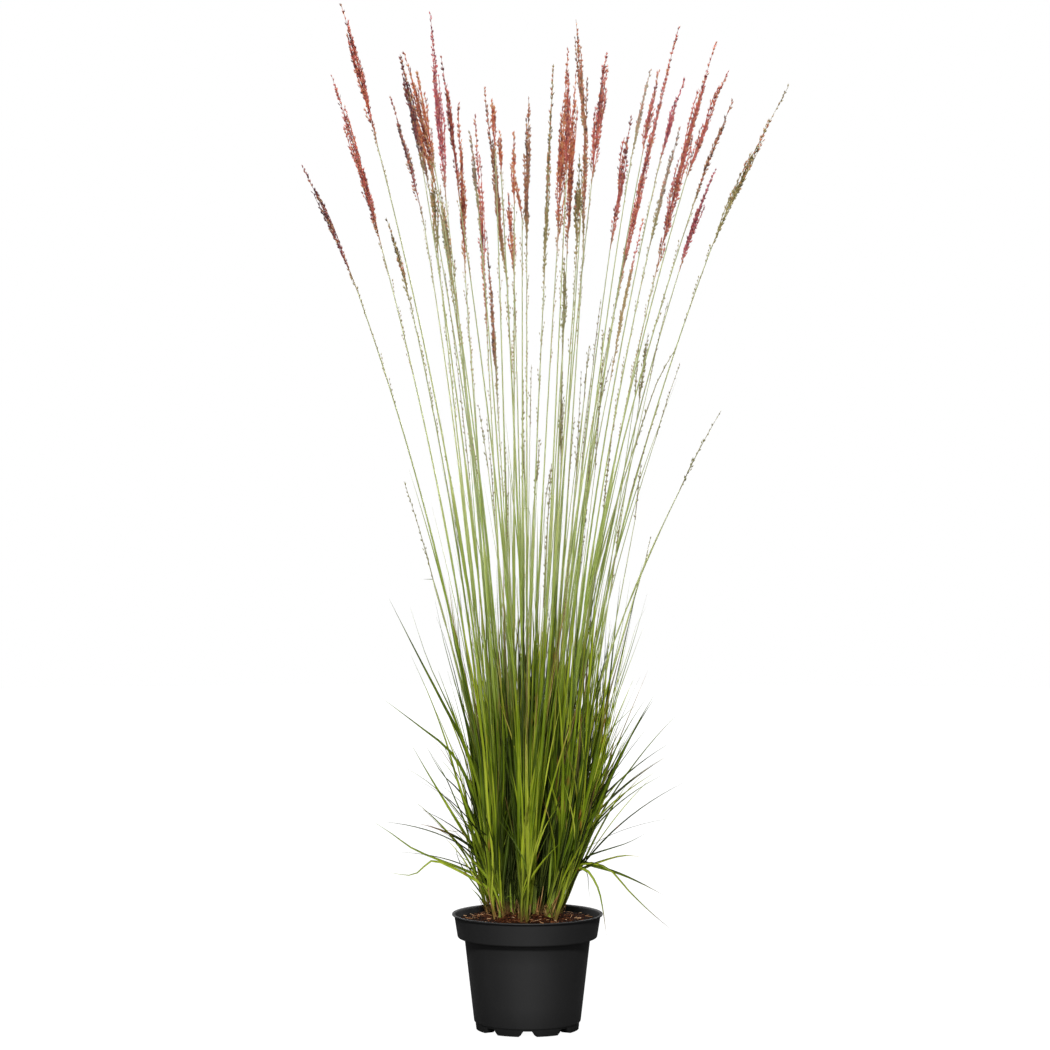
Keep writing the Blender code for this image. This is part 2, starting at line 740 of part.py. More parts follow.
def fuse(name, base, shapes, surface):
    """Joins a base and all that grows from it into one solid."""
    tuft = new_object(name, base, surface)
    growth = bpy.data.collections.new(name + "_growth")
    bpy.context.scene.collection.children.link(growth)
    for number, shape in enumerate(shapes):
        piece = new_object(f"{name}_growth_{number}", shape)
        bpy.context.scene.collection.objects.unlink(piece)
        growth.objects.link(piece)
    modifier = tuft.modifiers.new("fuse", "BOOLEAN")
    modifier.operation = "UNION"
    modifier.operand_type = "COLLECTION"
    modifier.collection = growth
    for solver in ("EXACT", "MANIFOLD"):
        modifier.solver = solver
        evaluated = tuft.evaluated_get(bpy.context.evaluated_depsgraph_get())
        fused = bpy.data.meshes.new_from_object(evaluated)
        if is_closed(fused):
            break
    tuft.modifiers.clear()
    tuft.data = fused
    for piece in list(growth.objects):
        bpy.data.objects.remove(piece, do_unlink=True)
    bpy.data.collections.remove(growth)
    return tuft


def shaded(colour, order):
    """A colour a little lighter or darker than the last, so that neighbours can be told apart."""
    share = 0.85 + 0.3 * ((order * 0.618034) % 1.0)
    return tuple(channel * share for channel in colour)


def make_grass(crowns):
    """Stems first, then plumes, then leaves; each tuft is fused last."""
    clump = Clump(crowns)
    plumes = [clump.place_stem(row, order, False) for order, row in enumerate(PLUMES)]
    for order, row in enumerate(PANICLES):
        clump.place_stem(row, len(PLUMES) + order, True)
    for order, row in enumerate(STRAY_LEAVES):
        clump.place_stray(row, order)
    for crown, place in enumerate(crowns):
        for _ in range(LEAVES_PER_CROWN[place.ring]):
            clump.place_leaf(crown)
        for path in clump.stems[crown][::2]:
            clump.place_stem_leaf(crown, path)
    for order, (row, shape) in enumerate(zip(PLUMES, plumes)):
        name = f"plume_{order + 1:02d}"
        new_object(name, shape, material(name, shaded(COLOURS[row.colour], order), 0.8))
    for order, place in enumerate(crowns):
        name = f"tuft_{order + 1:02d}"
        surface = material(name, shaded(COLOURS["leaf"], order), 0.6)
        fuse(name, crown_shape(place), clump.shapes[order], surface)


def main():
    """Clears the scene and builds the potted grass."""
    for old in list(bpy.data.objects):
        bpy.data.objects.remove(old, do_unlink=True)
    crowns = crown_places()
    make_pot()
    make_peat(crowns)
    make_grass(crowns)


main()
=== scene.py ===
"""Looks of a feather reed grass in its black nursery pot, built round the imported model.

The plan section repeats the rules that set where every stem, plume and leaf of the model stands, with
the same seed, so each fine piece grows where its solid is. The sections after it dress that plan: each
plume with its spikelets, a tuft's leaves and sheaths, its culms with their green panicles, the peat
with its crumbs, and the pot.

Metres, +Z up, -Y is the front.
"""
import math
import random
from collections import namedtuple

import bpy
import numpy as np
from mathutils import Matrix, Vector, noise
from mathutils.bvhtree import BVHTree


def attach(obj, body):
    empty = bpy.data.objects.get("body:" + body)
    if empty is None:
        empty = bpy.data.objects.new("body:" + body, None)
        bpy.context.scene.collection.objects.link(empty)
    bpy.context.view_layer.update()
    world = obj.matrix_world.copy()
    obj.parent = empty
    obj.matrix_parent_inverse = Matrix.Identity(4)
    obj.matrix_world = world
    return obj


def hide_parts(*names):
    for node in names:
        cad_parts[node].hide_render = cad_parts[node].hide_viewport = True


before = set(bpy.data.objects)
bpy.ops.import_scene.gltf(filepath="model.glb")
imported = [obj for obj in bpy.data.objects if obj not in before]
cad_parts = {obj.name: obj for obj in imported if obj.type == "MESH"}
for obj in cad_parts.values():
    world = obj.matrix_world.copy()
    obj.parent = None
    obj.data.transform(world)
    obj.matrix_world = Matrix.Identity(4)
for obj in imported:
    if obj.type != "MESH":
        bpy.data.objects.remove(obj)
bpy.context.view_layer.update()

MM = 0.001
GAP = 0.3 * MM
SEED = 41
STRAY_SEED = 100
PLUME_SEED = 200
PEAT_SEED = 400
TOP = Vector((0.0, 0.0, 1.0))
TOP_ROW = np.array(TOP)

# Pot
POT_HEIGHT = 0.175
LIP_RADIUS = 0.115
LIP_HEIGHT = 0.003
BAND_TOP_RADIUS = 0.1116
BAND_FOOT_RADIUS = 0.1067
BAND_FOOT_HEIGHT = 0.1385
BODY_TOP_RADIUS = 0.096
BODY_FOOT_RADIUS = 0.0814
FOOT_RADIUS = 0.0788
FOOT_HEIGHT = 0.0105
FLOOR_TOP = 0.0125
WALL = 0.002
BODY_CORNER = 1.4 * MM
BAND_CORNER = 3.0 * MM
BOSS_RADIUS = 0.020
NOTCH_COUNT = 8
NOTCH_HEIGHT = 0.0084
NOTCH_TOP_WIDTH = 0.0126
NOTCH_FOOT_WIDTH = 0.031
NOTCH_INNER_HALF = 0.36
NOTCH_OUTER_HALF = 0.56
RING_DEPTH = 0.016
DRAIN_COUNT = 8
DRAIN_RADIUS = 0.005
DRAIN_CIRCLE = 0.052

# Peat and crowns
PEAT_LEVEL = 0.163
PEAT_MOUND = 0.0095
PEAT_BUMP = 0.0011
CROWN_RADIUS = 0.0122
ROOT_RISE = 0.0042
CLUMP_X = -0.004
CLUMP_LEAN = 0.036
STEM_AIM = 0.26
LEAF_AIM = 0.8
SPRAY_AIM = 0.28
RING_RADII = (0.0, 0.0275, 0.0545)
RING_COUNTS = (1, 5, 7)

# Stems and plumes
STEM_ROOT_RADIUS = 0.0022
STEM_TOP_RADIUS = 0.0011
STEM_POINTS = 5
STEMS_PER_CROWN = 6
PLUME_DEPTH = 0.32
SPREAD_LIMIT = 0.42
BAND_LENGTH = 0.034

# Leaves, with their widths in millimetres
LEAF_THICKNESS = 0.0013
LEAVES_PER_CROWN = (13, 14, 16)
LEAF_HEIGHTS = (0.27, 0.52)
LEAF_WIDTHS = (5.5, 9.0)
STEM_LEAF_STARTS = (0.10, 0.32)
STEM_LEAF_HEIGHTS = (0.20, 0.34)
STEM_LEAF_WIDTHS = (4.0, 6.5)
STEM_LEAF_LEANS = (0.015, 0.05)

# How often a place is sought before the last one is taken, or the leaf is left out
STEM_TRIES = 60
LEAF_TRIES = 40
STEM_LEAF_TRIES = 25
STRAY_TRIES = 60

# Sideways places and heights below are read in a front view from this point.
EYE = Vector((-0.0037, -4.2, 0.766))

# Fine leaves, with their widths and the sheaths' radii in millimetres
LEAF_LEVELS = 14
EDGE_THICKNESS = 0.35 * MM
SHOOTS_PER_CROWN = 6
FILLERS_PER_CROWN = 2
FILLER_REACH = (0.75, 1.35)
SHEATH_HEIGHTS = (0.055, 0.120)
SHEATH_RADII = (1.2, 2.0)
SHEATH_FLATNESS = 0.85
STRAW_X = -0.040
STRAW_SHARE = 0.9
STRAW_ELSEWHERE = 0.12
ROOT_SINK = 0.008
GATHER_HEIGHT = 0.10
LEAVES_PER_SHOOT = 10
LEAF_TOPS = (0.32, 0.55)
YOUNG_LENGTHS = (0.12, 0.52)
YOUNG_WIDTHS = (3.4, 8.0)
SHORT_LENGTHS = (0.05, 0.17)
SHORT_DRIFTS = (0.015, 0.055)
SHORT_WIDTHS = (2.5, 5.0)
WISP_LENGTHS = (0.012, 0.040)
WISP_WIDTHS = (1.2, 3.0)
LEAF_SAG = 0.35
LEAF_SWAY = 4.0 * MM
LOOSE_SHARE = 0.16
LOOSE_LEAN = (0.04, 0.12)
STRAY_WIDTH = 1.2
DRY_SHARE = 0.2
NARROW_RISES = (0.0, 0.10, 0.24, 0.42)
NARROW_LEFT = (0.87, 0.79, 0.76, 0.88)
NARROW_RIGHT = (0.88, 0.95, 1.0, 1.0)
BARE_PATCHES = ((-0.028, -0.052, 0.011), (0.034, -0.050, 0.014))
# The next three set the painted shade on shoots inside the clump: how far in it reaches, how deep it is,
# and how high up their leaves it fades out.
PAINTED_SHADE_RADIUS = 0.062
INNER_PAINTED_SHADE = 1.0
PAINTED_SHADE_HEIGHT = 0.46
STAIN_FOOT = 0.168
STAIN_HEIGHT = 0.020

# Fine stems, with their radii, walls and widths in millimetres
CULM_LEVELS = 26
CULM_SHARES = (0.0, 0.3, 0.6, 1.0)
CULM_RADII = (2.0, 1.7, 1.2, 0.7)
SPRAY_SHARES = (0.0, 0.5, 1.0)
SPRAY_RADII = (1.4, 0.95, 0.55)
FREE_HEIGHT = 0.2
JOINT_HEIGHTS = (0.11, 0.27, 0.46)
JOINT_SPAN = np.array((0.0, 0.08, 0.2, 0.5, 0.8, 1.0))
JOINT_WALLS = np.array((0.05, 0.7, 1.0, 1.0, 0.8, 0.2))
JOINT_TONES = np.array((-0.3, -0.1, 0.0, 0.05, 0.1, 0.1))
JOINT_REACHES = (0.10, 0.17)
STOUT_SHARE = 0.4
STOUT_WALLS = (0.7, 1.3)
SLIM_WALLS = (0.2, 0.5)
FLAG_SHARE = 0.8
FLAG_STARTS = (0.28, 0.52)
FLAG_LENGTHS = (0.18, 0.34)
FLAG_DRIFTS = (0.006, 0.030)
FLAG_WIDTHS = (2.2, 4.2)

# Fine plumes, with the husks' radii in millimetres
PLUME_LEVELS = 24
STRANDS_A_MM = 1.4
MAIN_WIDTH = 0.80
MAIN_SPACING = 1.12
STRAND_STARTS = (0.03, 0.50)
STRAND_LENGTHS = (0.25, 0.45)
STRAND_REACHES = (0.6, 1.9)
STRAND_WIDTH = 0.30
STRAND_SPACING = 1.3
OPEN_SPACING = 1.5
WHORL_STEP = 0.0085
WHORL_BRANCHES = 4.1
BRANCH_LENGTH = 0.030
PROUD_SHARE = 0.22
TWIG_RADIUS = 0.22 * MM
SPIKELET_STEP = 0.0042
HUSK_LENGTHS = (0.0054, 0.0084)
HUSK_RADII = (0.85, 1.4)
MOTTLE_SCALE = 160.0
MOTTLE_DEPTH = 0.9
TONE_COLUMNS = 12
TAIL_SHARE = 0.85
TAIL_START = 0.006
TAIL_LENGTHS = (0.08, 0.30)
TAIL_STEP = 0.015
TAIL_REACHES = (0.012, 0.030)
TAIL_HUSK_LENGTHS = (0.0040, 0.0058)
TAIL_HUSK_RADII = (0.6, 0.9)
SLENDER_WIDTH = 3

# Fine peat, with its crumbs and fibres in millimetres, and fine pot
PEAT_SPOKES = 150
PEAT_CIRCLES = 60
PEAT_GRAIN = 0.8 * MM
HEAP_RADIUS = 0.062
HEAP_HEIGHT = 0.009
CRUMB_COUNT = 1500
CRUMB_SIZES = (0.5, 1.5)
CRUMB_LEAST = (0.7, 0.6, 0.4)
CRUMB_MOST = (1.9, 1.1, 0.8)
FIBRE_COUNT = 170
FIBRE_LENGTHS = (4.0, 16.0)
FIBRE_RADII = (0.25, 0.75)
POT_SPOKES = 144
ARC_STEPS = 5
HOLE_SPOKES = 24

# Stage
LENS = 94.5
SENSOR_WIDTH = 36.0
WHITE = (1.0, 1.0, 1.0, 1.0)
FLOOR_RADIUS = 9.0
FLOOR_SPOKES = 96
FLOOR_TONE = 0.04
FLOOR_GLOW = 0.97
FILL_LIGHT = 0.05
BACKDROP_LIGHT = 1.0
KEY_LIGHT = 3.75
KEY_FROM = (-0.05, -1.0, 0.75)
KEY_SPREAD = 10.0
FRONT_POWER = 40.0
FRONT_FROM = (0.1, -4.4, 1.2)
FRONT_AIM = (0.0, 0.0, 0.8)
FRONT_SIZE = 1.4
SIDE_POWER = 5.5
SIDE_FROM = (3.0, 0.7, 1.35)
SIDE_AIM = (0.0, 0.0, 1.08)
SIDE_SIZE = 1.2
SIDE_SPREAD = 12.0
BACK_LIGHT = 2.0
BACK_FROM = ((-0.6, 1.0, 1.1), (0.6, 1.0, 1.1))
BACK_SPREAD = 25.0

# One row a plume: tip x, tip z, foot x, foot z and half width in millimetres, and colour.
Plume = namedtuple("Plume", "tip_x tip_z foot_x foot_z half_width colour")
PLUMES = [Plume(*row) for row in (
    (-344, 1314, -260, 1125, 4, "purple"),
    (-298, 1449, -223, 1192, 7, "red"),
    (-283, 1556, -229, 1346, 6, "red"),
    (-215, 1234, -176, 1094, 4, "olive"),
    (-208, 1416, -158, 1227, 4, "purple"),
    (-194, 1483, -158, 1300, 5, "purple"),
    (-187, 1484, -139, 1276, 8, "rust"),
    (-178, 1414, -151, 1283, 5, "purple"),
    (-168, 1454, -142, 1315, 5, "rust"),
    (-148, 1543, -124, 1260, 6, "pink"),
    (-147, 1323, -136, 1173, 5, "olive"),
    (-133, 1277, -109, 1100, 6, "olive"),
    (-131, 1477, -103, 1257, 5, "red"),
    (-106, 1407, -95, 1149, 6, "rust"),
    (-87, 1361, -74, 1239, 3, "grey"),
    (-80, 1388, -62, 1065, 5, "red"),
    (-66, 1430, -31, 1128, 6, "brown"),
    (-62, 1210, -46, 957, 3, "brown"),
    (-55, 1413, -49, 1330, 4, "rust"),
    (-42, 1363, -40, 1300, 3, "rust"),
    (-30, 1273, -20, 1140, 5, "rust"),
    (-21, 1361, -20, 1251, 4, "rust"),
    (-18, 1297, -8, 1231, 3, "rust"),
    (2, 1419, -1, 1178, 6, "brown"),
    (40, 1468, 25, 1126, 4, "olive"),
    (62, 1490, 45, 1183, 8, "rust"),
    (62, 1455, 59, 1292, 4, "red"),
    (74, 1536, 88, 1337, 5, "brown"),
    (74, 1457, 60, 1173, 6, "rust"),
    (80, 1326, 74, 1157, 5, "olive"),
    (91, 1448, 85, 1181, 4, "brown"),
    (120, 1482, 98, 1289, 8, "red"),
    (158, 1385, 126, 1186, 5, "red"),
    (188, 1460, 158, 1323, 3, "grey"),
    (201, 1460, 175, 1330, 5, "red"),
    (176, 1231, 126, 986, 3, "red"),
    (231, 1526, 140, 1126, 6, "red"),
    (232, 1370, 185, 1186, 3, "grey"),
    (239, 1445, 201, 1317, 4, "pink"),
    (286, 1498, 194, 1143, 8, "red"),
    (287, 1308, 231, 1152, 5, "pink"),
    (304, 1454, 242, 1294, 6, "red"),
    (312, 1410, 248, 1239, 3, "brown"),
    (397, 1433, 281, 1190, 5, "olive"),
)]
PANICLES = [Plume(*row, "leaf") for row in (
    (-188, 832, -144, 683, 3),
    (-126, 876, -100, 730, 3),
    (-75, 949, -60, 852, 3),
    (-34, 885, -30, 747, 3),
    (-8, 931, -5, 838, 4),
    (16, 861, 9, 791, 4),
    (37, 858, 31, 774, 3),
    (56, 1148, 53, 1026, 5),
    (56, 957, 51, 843, 4),
    (94, 1039, 89, 986, 3),
    (115, 1062, 112, 995, 3),
    (228, 1038, 196, 980, 2),
    (295, 940, 233, 821, 3),
    (188, 748, 181, 716, 2),
)]

# Leaves that stand clear of the clump: width, then x and z from the clump to the tip, in millimetres.
STRAY_LEAVES = (
    (6.5, (-75, 375), (-100, 439), (-132, 501), (-162, 558), (-208, 648)),
    (6.0, (-90, 420), (-113, 477), (-138, 527), (-162, 588), (-177, 636)),
    (4.0, (-97, 346), (-126, 442), (-153, 514), (-176, 564)),
    (6.5, (-90, 375), (-126, 430), (-177, 468), (-220, 501)),
    (5.5, (-84, 277), (-106, 312), (-153, 390), (-176, 430)),
    (4.0, (-94, 347), (-110, 360), (-132, 390), (-153, 427)),
    (6.5, (-71, 238), (-107, 285), (-123, 297), (-162, 337)),
    (4.0, (-78, 279), (-100, 312), (-132, 319)),
    (5.0, (-73, 190), (-91, 203), (-110, 225), (-147, 251), (-176, 270), (-206, 296), (-232, 312)),
    (5.0, (-70, 195), (-115, 232), (-137, 258), (-159, 248), (-182, 232), (-215, 236)),
    (3.5, (-74, 183), (-113, 212)),
    (4.0, (98, 400), (114, 436), (137, 465), (169, 495)),
    (5.0, (88, 310), (105, 355), (130, 402), (164, 460)),
    (4.5, (82, 275), (98, 306), (149, 358), (179, 390)),
    (4.0, (72, 240), (95, 262), (149, 280), (182, 297)),
    (7.0, (58, 212), (86, 229), (117, 247), (155, 262), (187, 261)),
    (6.5, (74, 240), (88, 255), (124, 245), (175, 232), (240, 206)),
    (4.5, (70, 238), (92, 253), (124, 244), (175, 192), (231, 146)),
    (5.0, (62, 232), (80, 247), (101, 232), (118, 203), (131, 143)),
)

# Thin leaves among those, seen only in the fine detail, in the same form.
THIN_STRAYS = (
    (4.0, (-92, 303), (-110, 348), (-126, 384), (-152, 425)),
    (4.5, (-98, 352), (-113, 386), (-133, 410)),
    (2.5, (-96, 296), (-118, 299), (-145, 312)),
    (3.0, (-84, 190), (-106, 233), (-109, 288)),
    (2.5, (-62, 188), (-92, 224), (-100, 262)),
    (3.5, (-86, 420), (-106, 520), (-125, 590), (-139, 626)),
    (3.0, (-80, 460), (-100, 560), (-118, 640), (-128, 690)),
    (3.0, (78, 250), (87, 266), (100, 281)),
    (3.5, (84, 300), (115, 345), (148, 385), (170, 402)),
    (3.0, (95, 330), (125, 392), (150, 442), (161, 462)),
    (3.0, (70, 240), (96, 238), (103, 215), (109, 196)),
    (3.5, (112, 430), (140, 520), (165, 600), (182, 660)),
    (3.0, (105, 450), (128, 540), (148, 630), (156, 680)),
    (3.0, (118, 470), (150, 560), (168, 620), (180, 640)),
)

# Slender sprays among the stems, in millimetres too; spacing sets how far apart their branches are.
Spray = namedtuple("Spray", "tip_x tip_z foot_x foot_z half_width spacing")
SPRAYS = [Spray(*row) for row in (
    (-126, 1154, -88, 835, 2.5, 2.2),
    (-49, 1060, -45, 935, 2.5, 2.4),
    (18, 898, 15, 835, 3.0, 1.6),
    (53, 997, 51, 864, 4.0, 1.1),
    (88, 991, 87, 960, 3.0, 1.6),
    (130, 1023, 114, 963, 2.5, 2.0),
    (98, 990, 82, 850, 2.5, 2.4),
    (37, 857, 28, 808, 2.5, 1.8),
    (170, 1039, 164, 964, 3.0, 1.5),
    (184, 1059, 170, 951, 3.5, 1.3),
    (197, 983, 164, 884, 2.5, 2.2),
    (202, 954, 155, 805, 2.5, 2.0),
    (173, 858, 164, 774, 2.5, 2.0),
    (-84, 900, -70, 800, 2.0, 2.4),
    (57, 1173, 54, 1036, 4.0, 1.1),
    (150, 1180, 120, 1020, 2.5, 1.8),
    (214, 1105, 186, 985, 2.0, 2.3),
    (112, 1110, 100, 1010, 2.0, 2.2),
    (72, 930, 62, 820, 2.0, 2.3),
    (232, 1010, 196, 900, 2.0, 2.4),
    (128, 900, 116, 790, 2.0, 2.2),
    (6, 1010, 4, 915, 2.0, 2.4),
    (98, 880, 80, 700, 3.0, 1.5),
    (64, 730, 56, 620, 2.5, 1.5),
    (131, 920, 113, 760, 2.5, 1.7),
    (82, 1000, 74, 830, 3.0, 1.6),
    (116, 1020, 103, 850, 2.5, 1.7),
    (31, 780, 24, 640, 2.2, 1.8),
    (-6, 985, -8, 820, 2.5, 1.6),
    (-62, 930, -50, 780, 2.0, 1.9),
    (145, 800, 128, 670, 2.2, 1.9),
)]

Crown = namedtuple("Crown", "x y ring")
Shape = namedtuple("Shape", "verts faces")
Culm = namedtuple("Culm", "crown row root foot tip plume_start")
Leaf = namedtuple("Leaf", "crown points width side kind")


# Plan: the same rules and draws as the model's source

def mound_height(x, y):
    """Height of the peat without its bumps: lowest at the wall and mounded under the clump."""
    reach = math.hypot(x, y) / BAND_TOP_RADIUS
    return PEAT_LEVEL + PEAT_MOUND * (1.0 - reach ** 3)


def crown_places():
    """Middle of each crown: one in the middle and two rings round it."""
    crowns = []
    for level, (radius, count) in enumerate(zip(RING_RADII, RING_COUNTS)):
        for step in range(count):
            angle = (step + 0.5 * level) * math.tau / count - math.pi / 2.0
            crowns.append(Crown(CLUMP_X + radius * math.cos(angle), radius * math.sin(angle), level))
    return crowns


def tip_faces(apex):
    """Faces from the last ring of three points to the apex."""
    return [(apex - 3 + side, apex - 3 + (side + 1) % 3, apex) for side in range(3)]


def tube(rings):
    """Closed shape through rings of three points, drawn to a point at its end."""
    verts = sum(rings, [])
    apex = len(verts)
    middle = sum(rings[-1], Vector()) / 3.0
    below = sum(rings[-2], Vector()) / 3.0
    verts.append(middle + (middle - below) * 0.3)
    faces = [(2, 1, 0)]
    for low in range(0, apex - 3, 3):
        for side in range(3):
            after = (side + 1) % 3
            faces.append((low + side, low + after, low + 3 + after))
            faces.append((low + side, low + 3 + after, low + 3 + side))
    return Shape(verts, faces + tip_faces(apex))


def tangent(points, index):
    """Direction of a path at one of its points."""
    before = points[max(index - 1, 0)]
    after = points[min(index + 1, len(points) - 1)]
    return (after - before).normalized()


def section(centre, along, radius, turn):
    """Three points round a path, the first turned by an angle."""
    side = along.cross(Vector((0.0, 1.0, 0.0))).normalized()
    back = along.cross(side)
    points = []
    for corner in range(3):
        angle = turn + corner * math.tau / 3.0
        points.append(centre + (side * math.cos(angle) + back * math.sin(angle)) * radius)
    return points


def rod(points, root_radius, top_radius):
    """Three-sided stem along a path, cut square at its top."""
    rings = []
    for index, point in enumerate(points):
        share = index / (len(points) - 1)
        radius = root_radius + (top_radius - root_radius) * share
        rings.append(section(point, tangent(points, index), radius, 0.0))
    shape = tube(rings)
    last = len(shape.verts) - 1
    sides = [face for face in shape.faces if last not in face]
    return Shape(shape.verts[:-1], sides + [(last - 3, last - 2, last - 1)])


def blade(points, width, side, thickness=LEAF_THICKNESS):
    """Leaf along a path: narrow at its root, keeled below, drawn out to a point."""
    rings = []
    for index, point in enumerate(points):
        share = index / (len(points) - 1)
        along = tangent(points, index)
        across = (side - along * side.dot(along)).normalized()
        under = along.cross(across)
        full = min(0.45 + 2.2 * share, 1.0) * (1.0 - share ** 3)
        half = across * (max(full, 0.16) * width / 2.0)
        keel = under * (thickness * max(1.0 - share, 0.6))
        rings.append([point + half, point + keel, point - half])
    return tube(rings)


def feather(points, half_width, rng):
    """Plume: a slim core with every facet drawn out into a spikelet that points up and out."""
    last = len(points) - 2
    rings = []
    for index, point in enumerate(points[:-1]):
        share = index / last
        radius = STEM_TOP_RADIUS * (0.8 + 0.8 * math.sin(math.pi * min(share + 0.1, 1.0)))
        radius *= 1.0 - 0.55 * share
        rings.append(section(point, tangent(points, index), radius, index * math.pi / 3.0))
    verts = sum(rings, [])
    apex = len(verts)
    verts.append(points[-1])
    faces = [(2, 1, 0)]
    for level in range(last):
        low = level * 3
        height = (points[level + 1] - points[level]).length
        middle = (points[level] + points[level + 1]) / 2.0
        along = (points[level + 1] - points[level]).normalized()
        for side in range(3):
            after = (side + 1) % 3
            for facet in ((low + side, low + after, low + 3 + side),
                          (low + after, low + 3 + after, low + 3 + side)):
                centre = sum((verts[index] for index in facet), Vector()) / 3.0
                out = centre - middle
                out = (out - along * out.dot(along)).normalized()
                share = (level + 0.5) / last
                reach = half_width * math.sin(math.pi * (0.15 + 0.75 * share)) * rng.uniform(0.55, 1.1)
                verts.append(centre + out * reach + along * height * rng.uniform(0.55, 0.95))
                spike = len(verts) - 1
                for corner in range(3):
                    faces.append((facet[corner], facet[(corner + 1) % 3], spike))
    return Shape(verts, faces + tip_faces(apex))


class Clearance:
    """Knows the shapes already placed, so that a new one can be kept off them."""

    ROOT_ZONE = PEAT_LEVEL + PEAT_MOUND + 0.045

    def __init__(self):
        self.placed = []

    @staticmethod
    def record(shape, crown):
        """Box, whole tree and tree of the part above the root zone."""
        low = Vector([min(v[axis] for v in shape.verts) for axis in range(3)])
        high = Vector([max(v[axis] for v in shape.verts) for axis in range(3)])
        upper = [face for face in shape.faces
                 if max(shape.verts[i].z for i in face) > Clearance.ROOT_ZONE]
        whole_tree = BVHTree.FromPolygons(shape.verts, shape.faces)
        upper_tree = BVHTree.FromPolygons(shape.verts, upper) if upper else None
        return low, high, whole_tree, upper_tree, crown

    def free(self, shape, crown):
        """True when the shape crosses nothing. Shapes of one crown may cross in their root zone."""
        low, high, whole, upper, _ = self.record(shape, crown)
        for other_low, other_high, other_whole, other_upper, other_crown in self.placed:
            if any(low[a] > other_high[a] or high[a] < other_low[a] for a in range(3)):
                continue
            if crown is not None and crown == other_crown:
                if upper and other_upper and upper.overlap(other_upper):
                    return False
            elif whole.overlap(other_whole):
                return False
        return True

    def add(self, shape, crown):
        self.placed.append(self.record(shape, crown))


def seen(x, z, depth):
    """The point at a depth that shows at x and z (in millimetres) in the front view from EYE."""
    scale = (depth - EYE.y) / -EYE.y
    return Vector((EYE.x + (x * MM - EYE.x) * scale, depth, EYE.z + (z * MM - EYE.z) * scale))


def stray_points(places, depth):
    """Points of a stray leaf, which stands further off in depth as it goes out."""
    return [seen(x, z, depth * (1.0 + 0.25 * step)) for step, (x, z) in enumerate(places)]


def spread_depth(x, order, most):
    """Depth for the nth thing at sideways place x: golden-ratio steps inside a round clump."""
    share = (0.31 + order * 0.618034) % 1.0
    room = math.sqrt(max(1.0 - (x * MM / SPREAD_LIMIT) ** 2, 0.1))
    return (2.0 * share - 1.0) * most * room


def stem_path(root, foot, tip, count):
    """Points from the root to the plume's foot, meeting the plume in its own direction."""
    chord = Vector((foot.x - root.x, foot.y - root.y)) / (foot.z - root.z)
    slope = Vector((tip.x - foot.x, tip.y - foot.y)) / (tip.z - foot.z)
    power = min(max(slope.dot(chord) / max(chord.dot(chord), 1e-6), 1.0), 1.7)
    points = []
    for step in range(count):
        share = step / (count - 1)
        across = root.xy.lerp(foot.xy, share ** power)
        points.append(Vector((across.x, across.y, root.z + (foot.z - root.z) * share)))
    return points


def plume_path(foot, tip, bands):
    """Points from the plume's foot to its tip, nodding a little outwards."""
    points = []
    for step in range(bands + 2):
        share = step / (bands + 1)
        nod = share + 0.15 * share * (share - 1.0)
        across = foot.xy.lerp(tip.xy, nod)
        points.append(Vector((across.x, across.y, foot.z + (tip.z - foot.z) * share)))
    return points


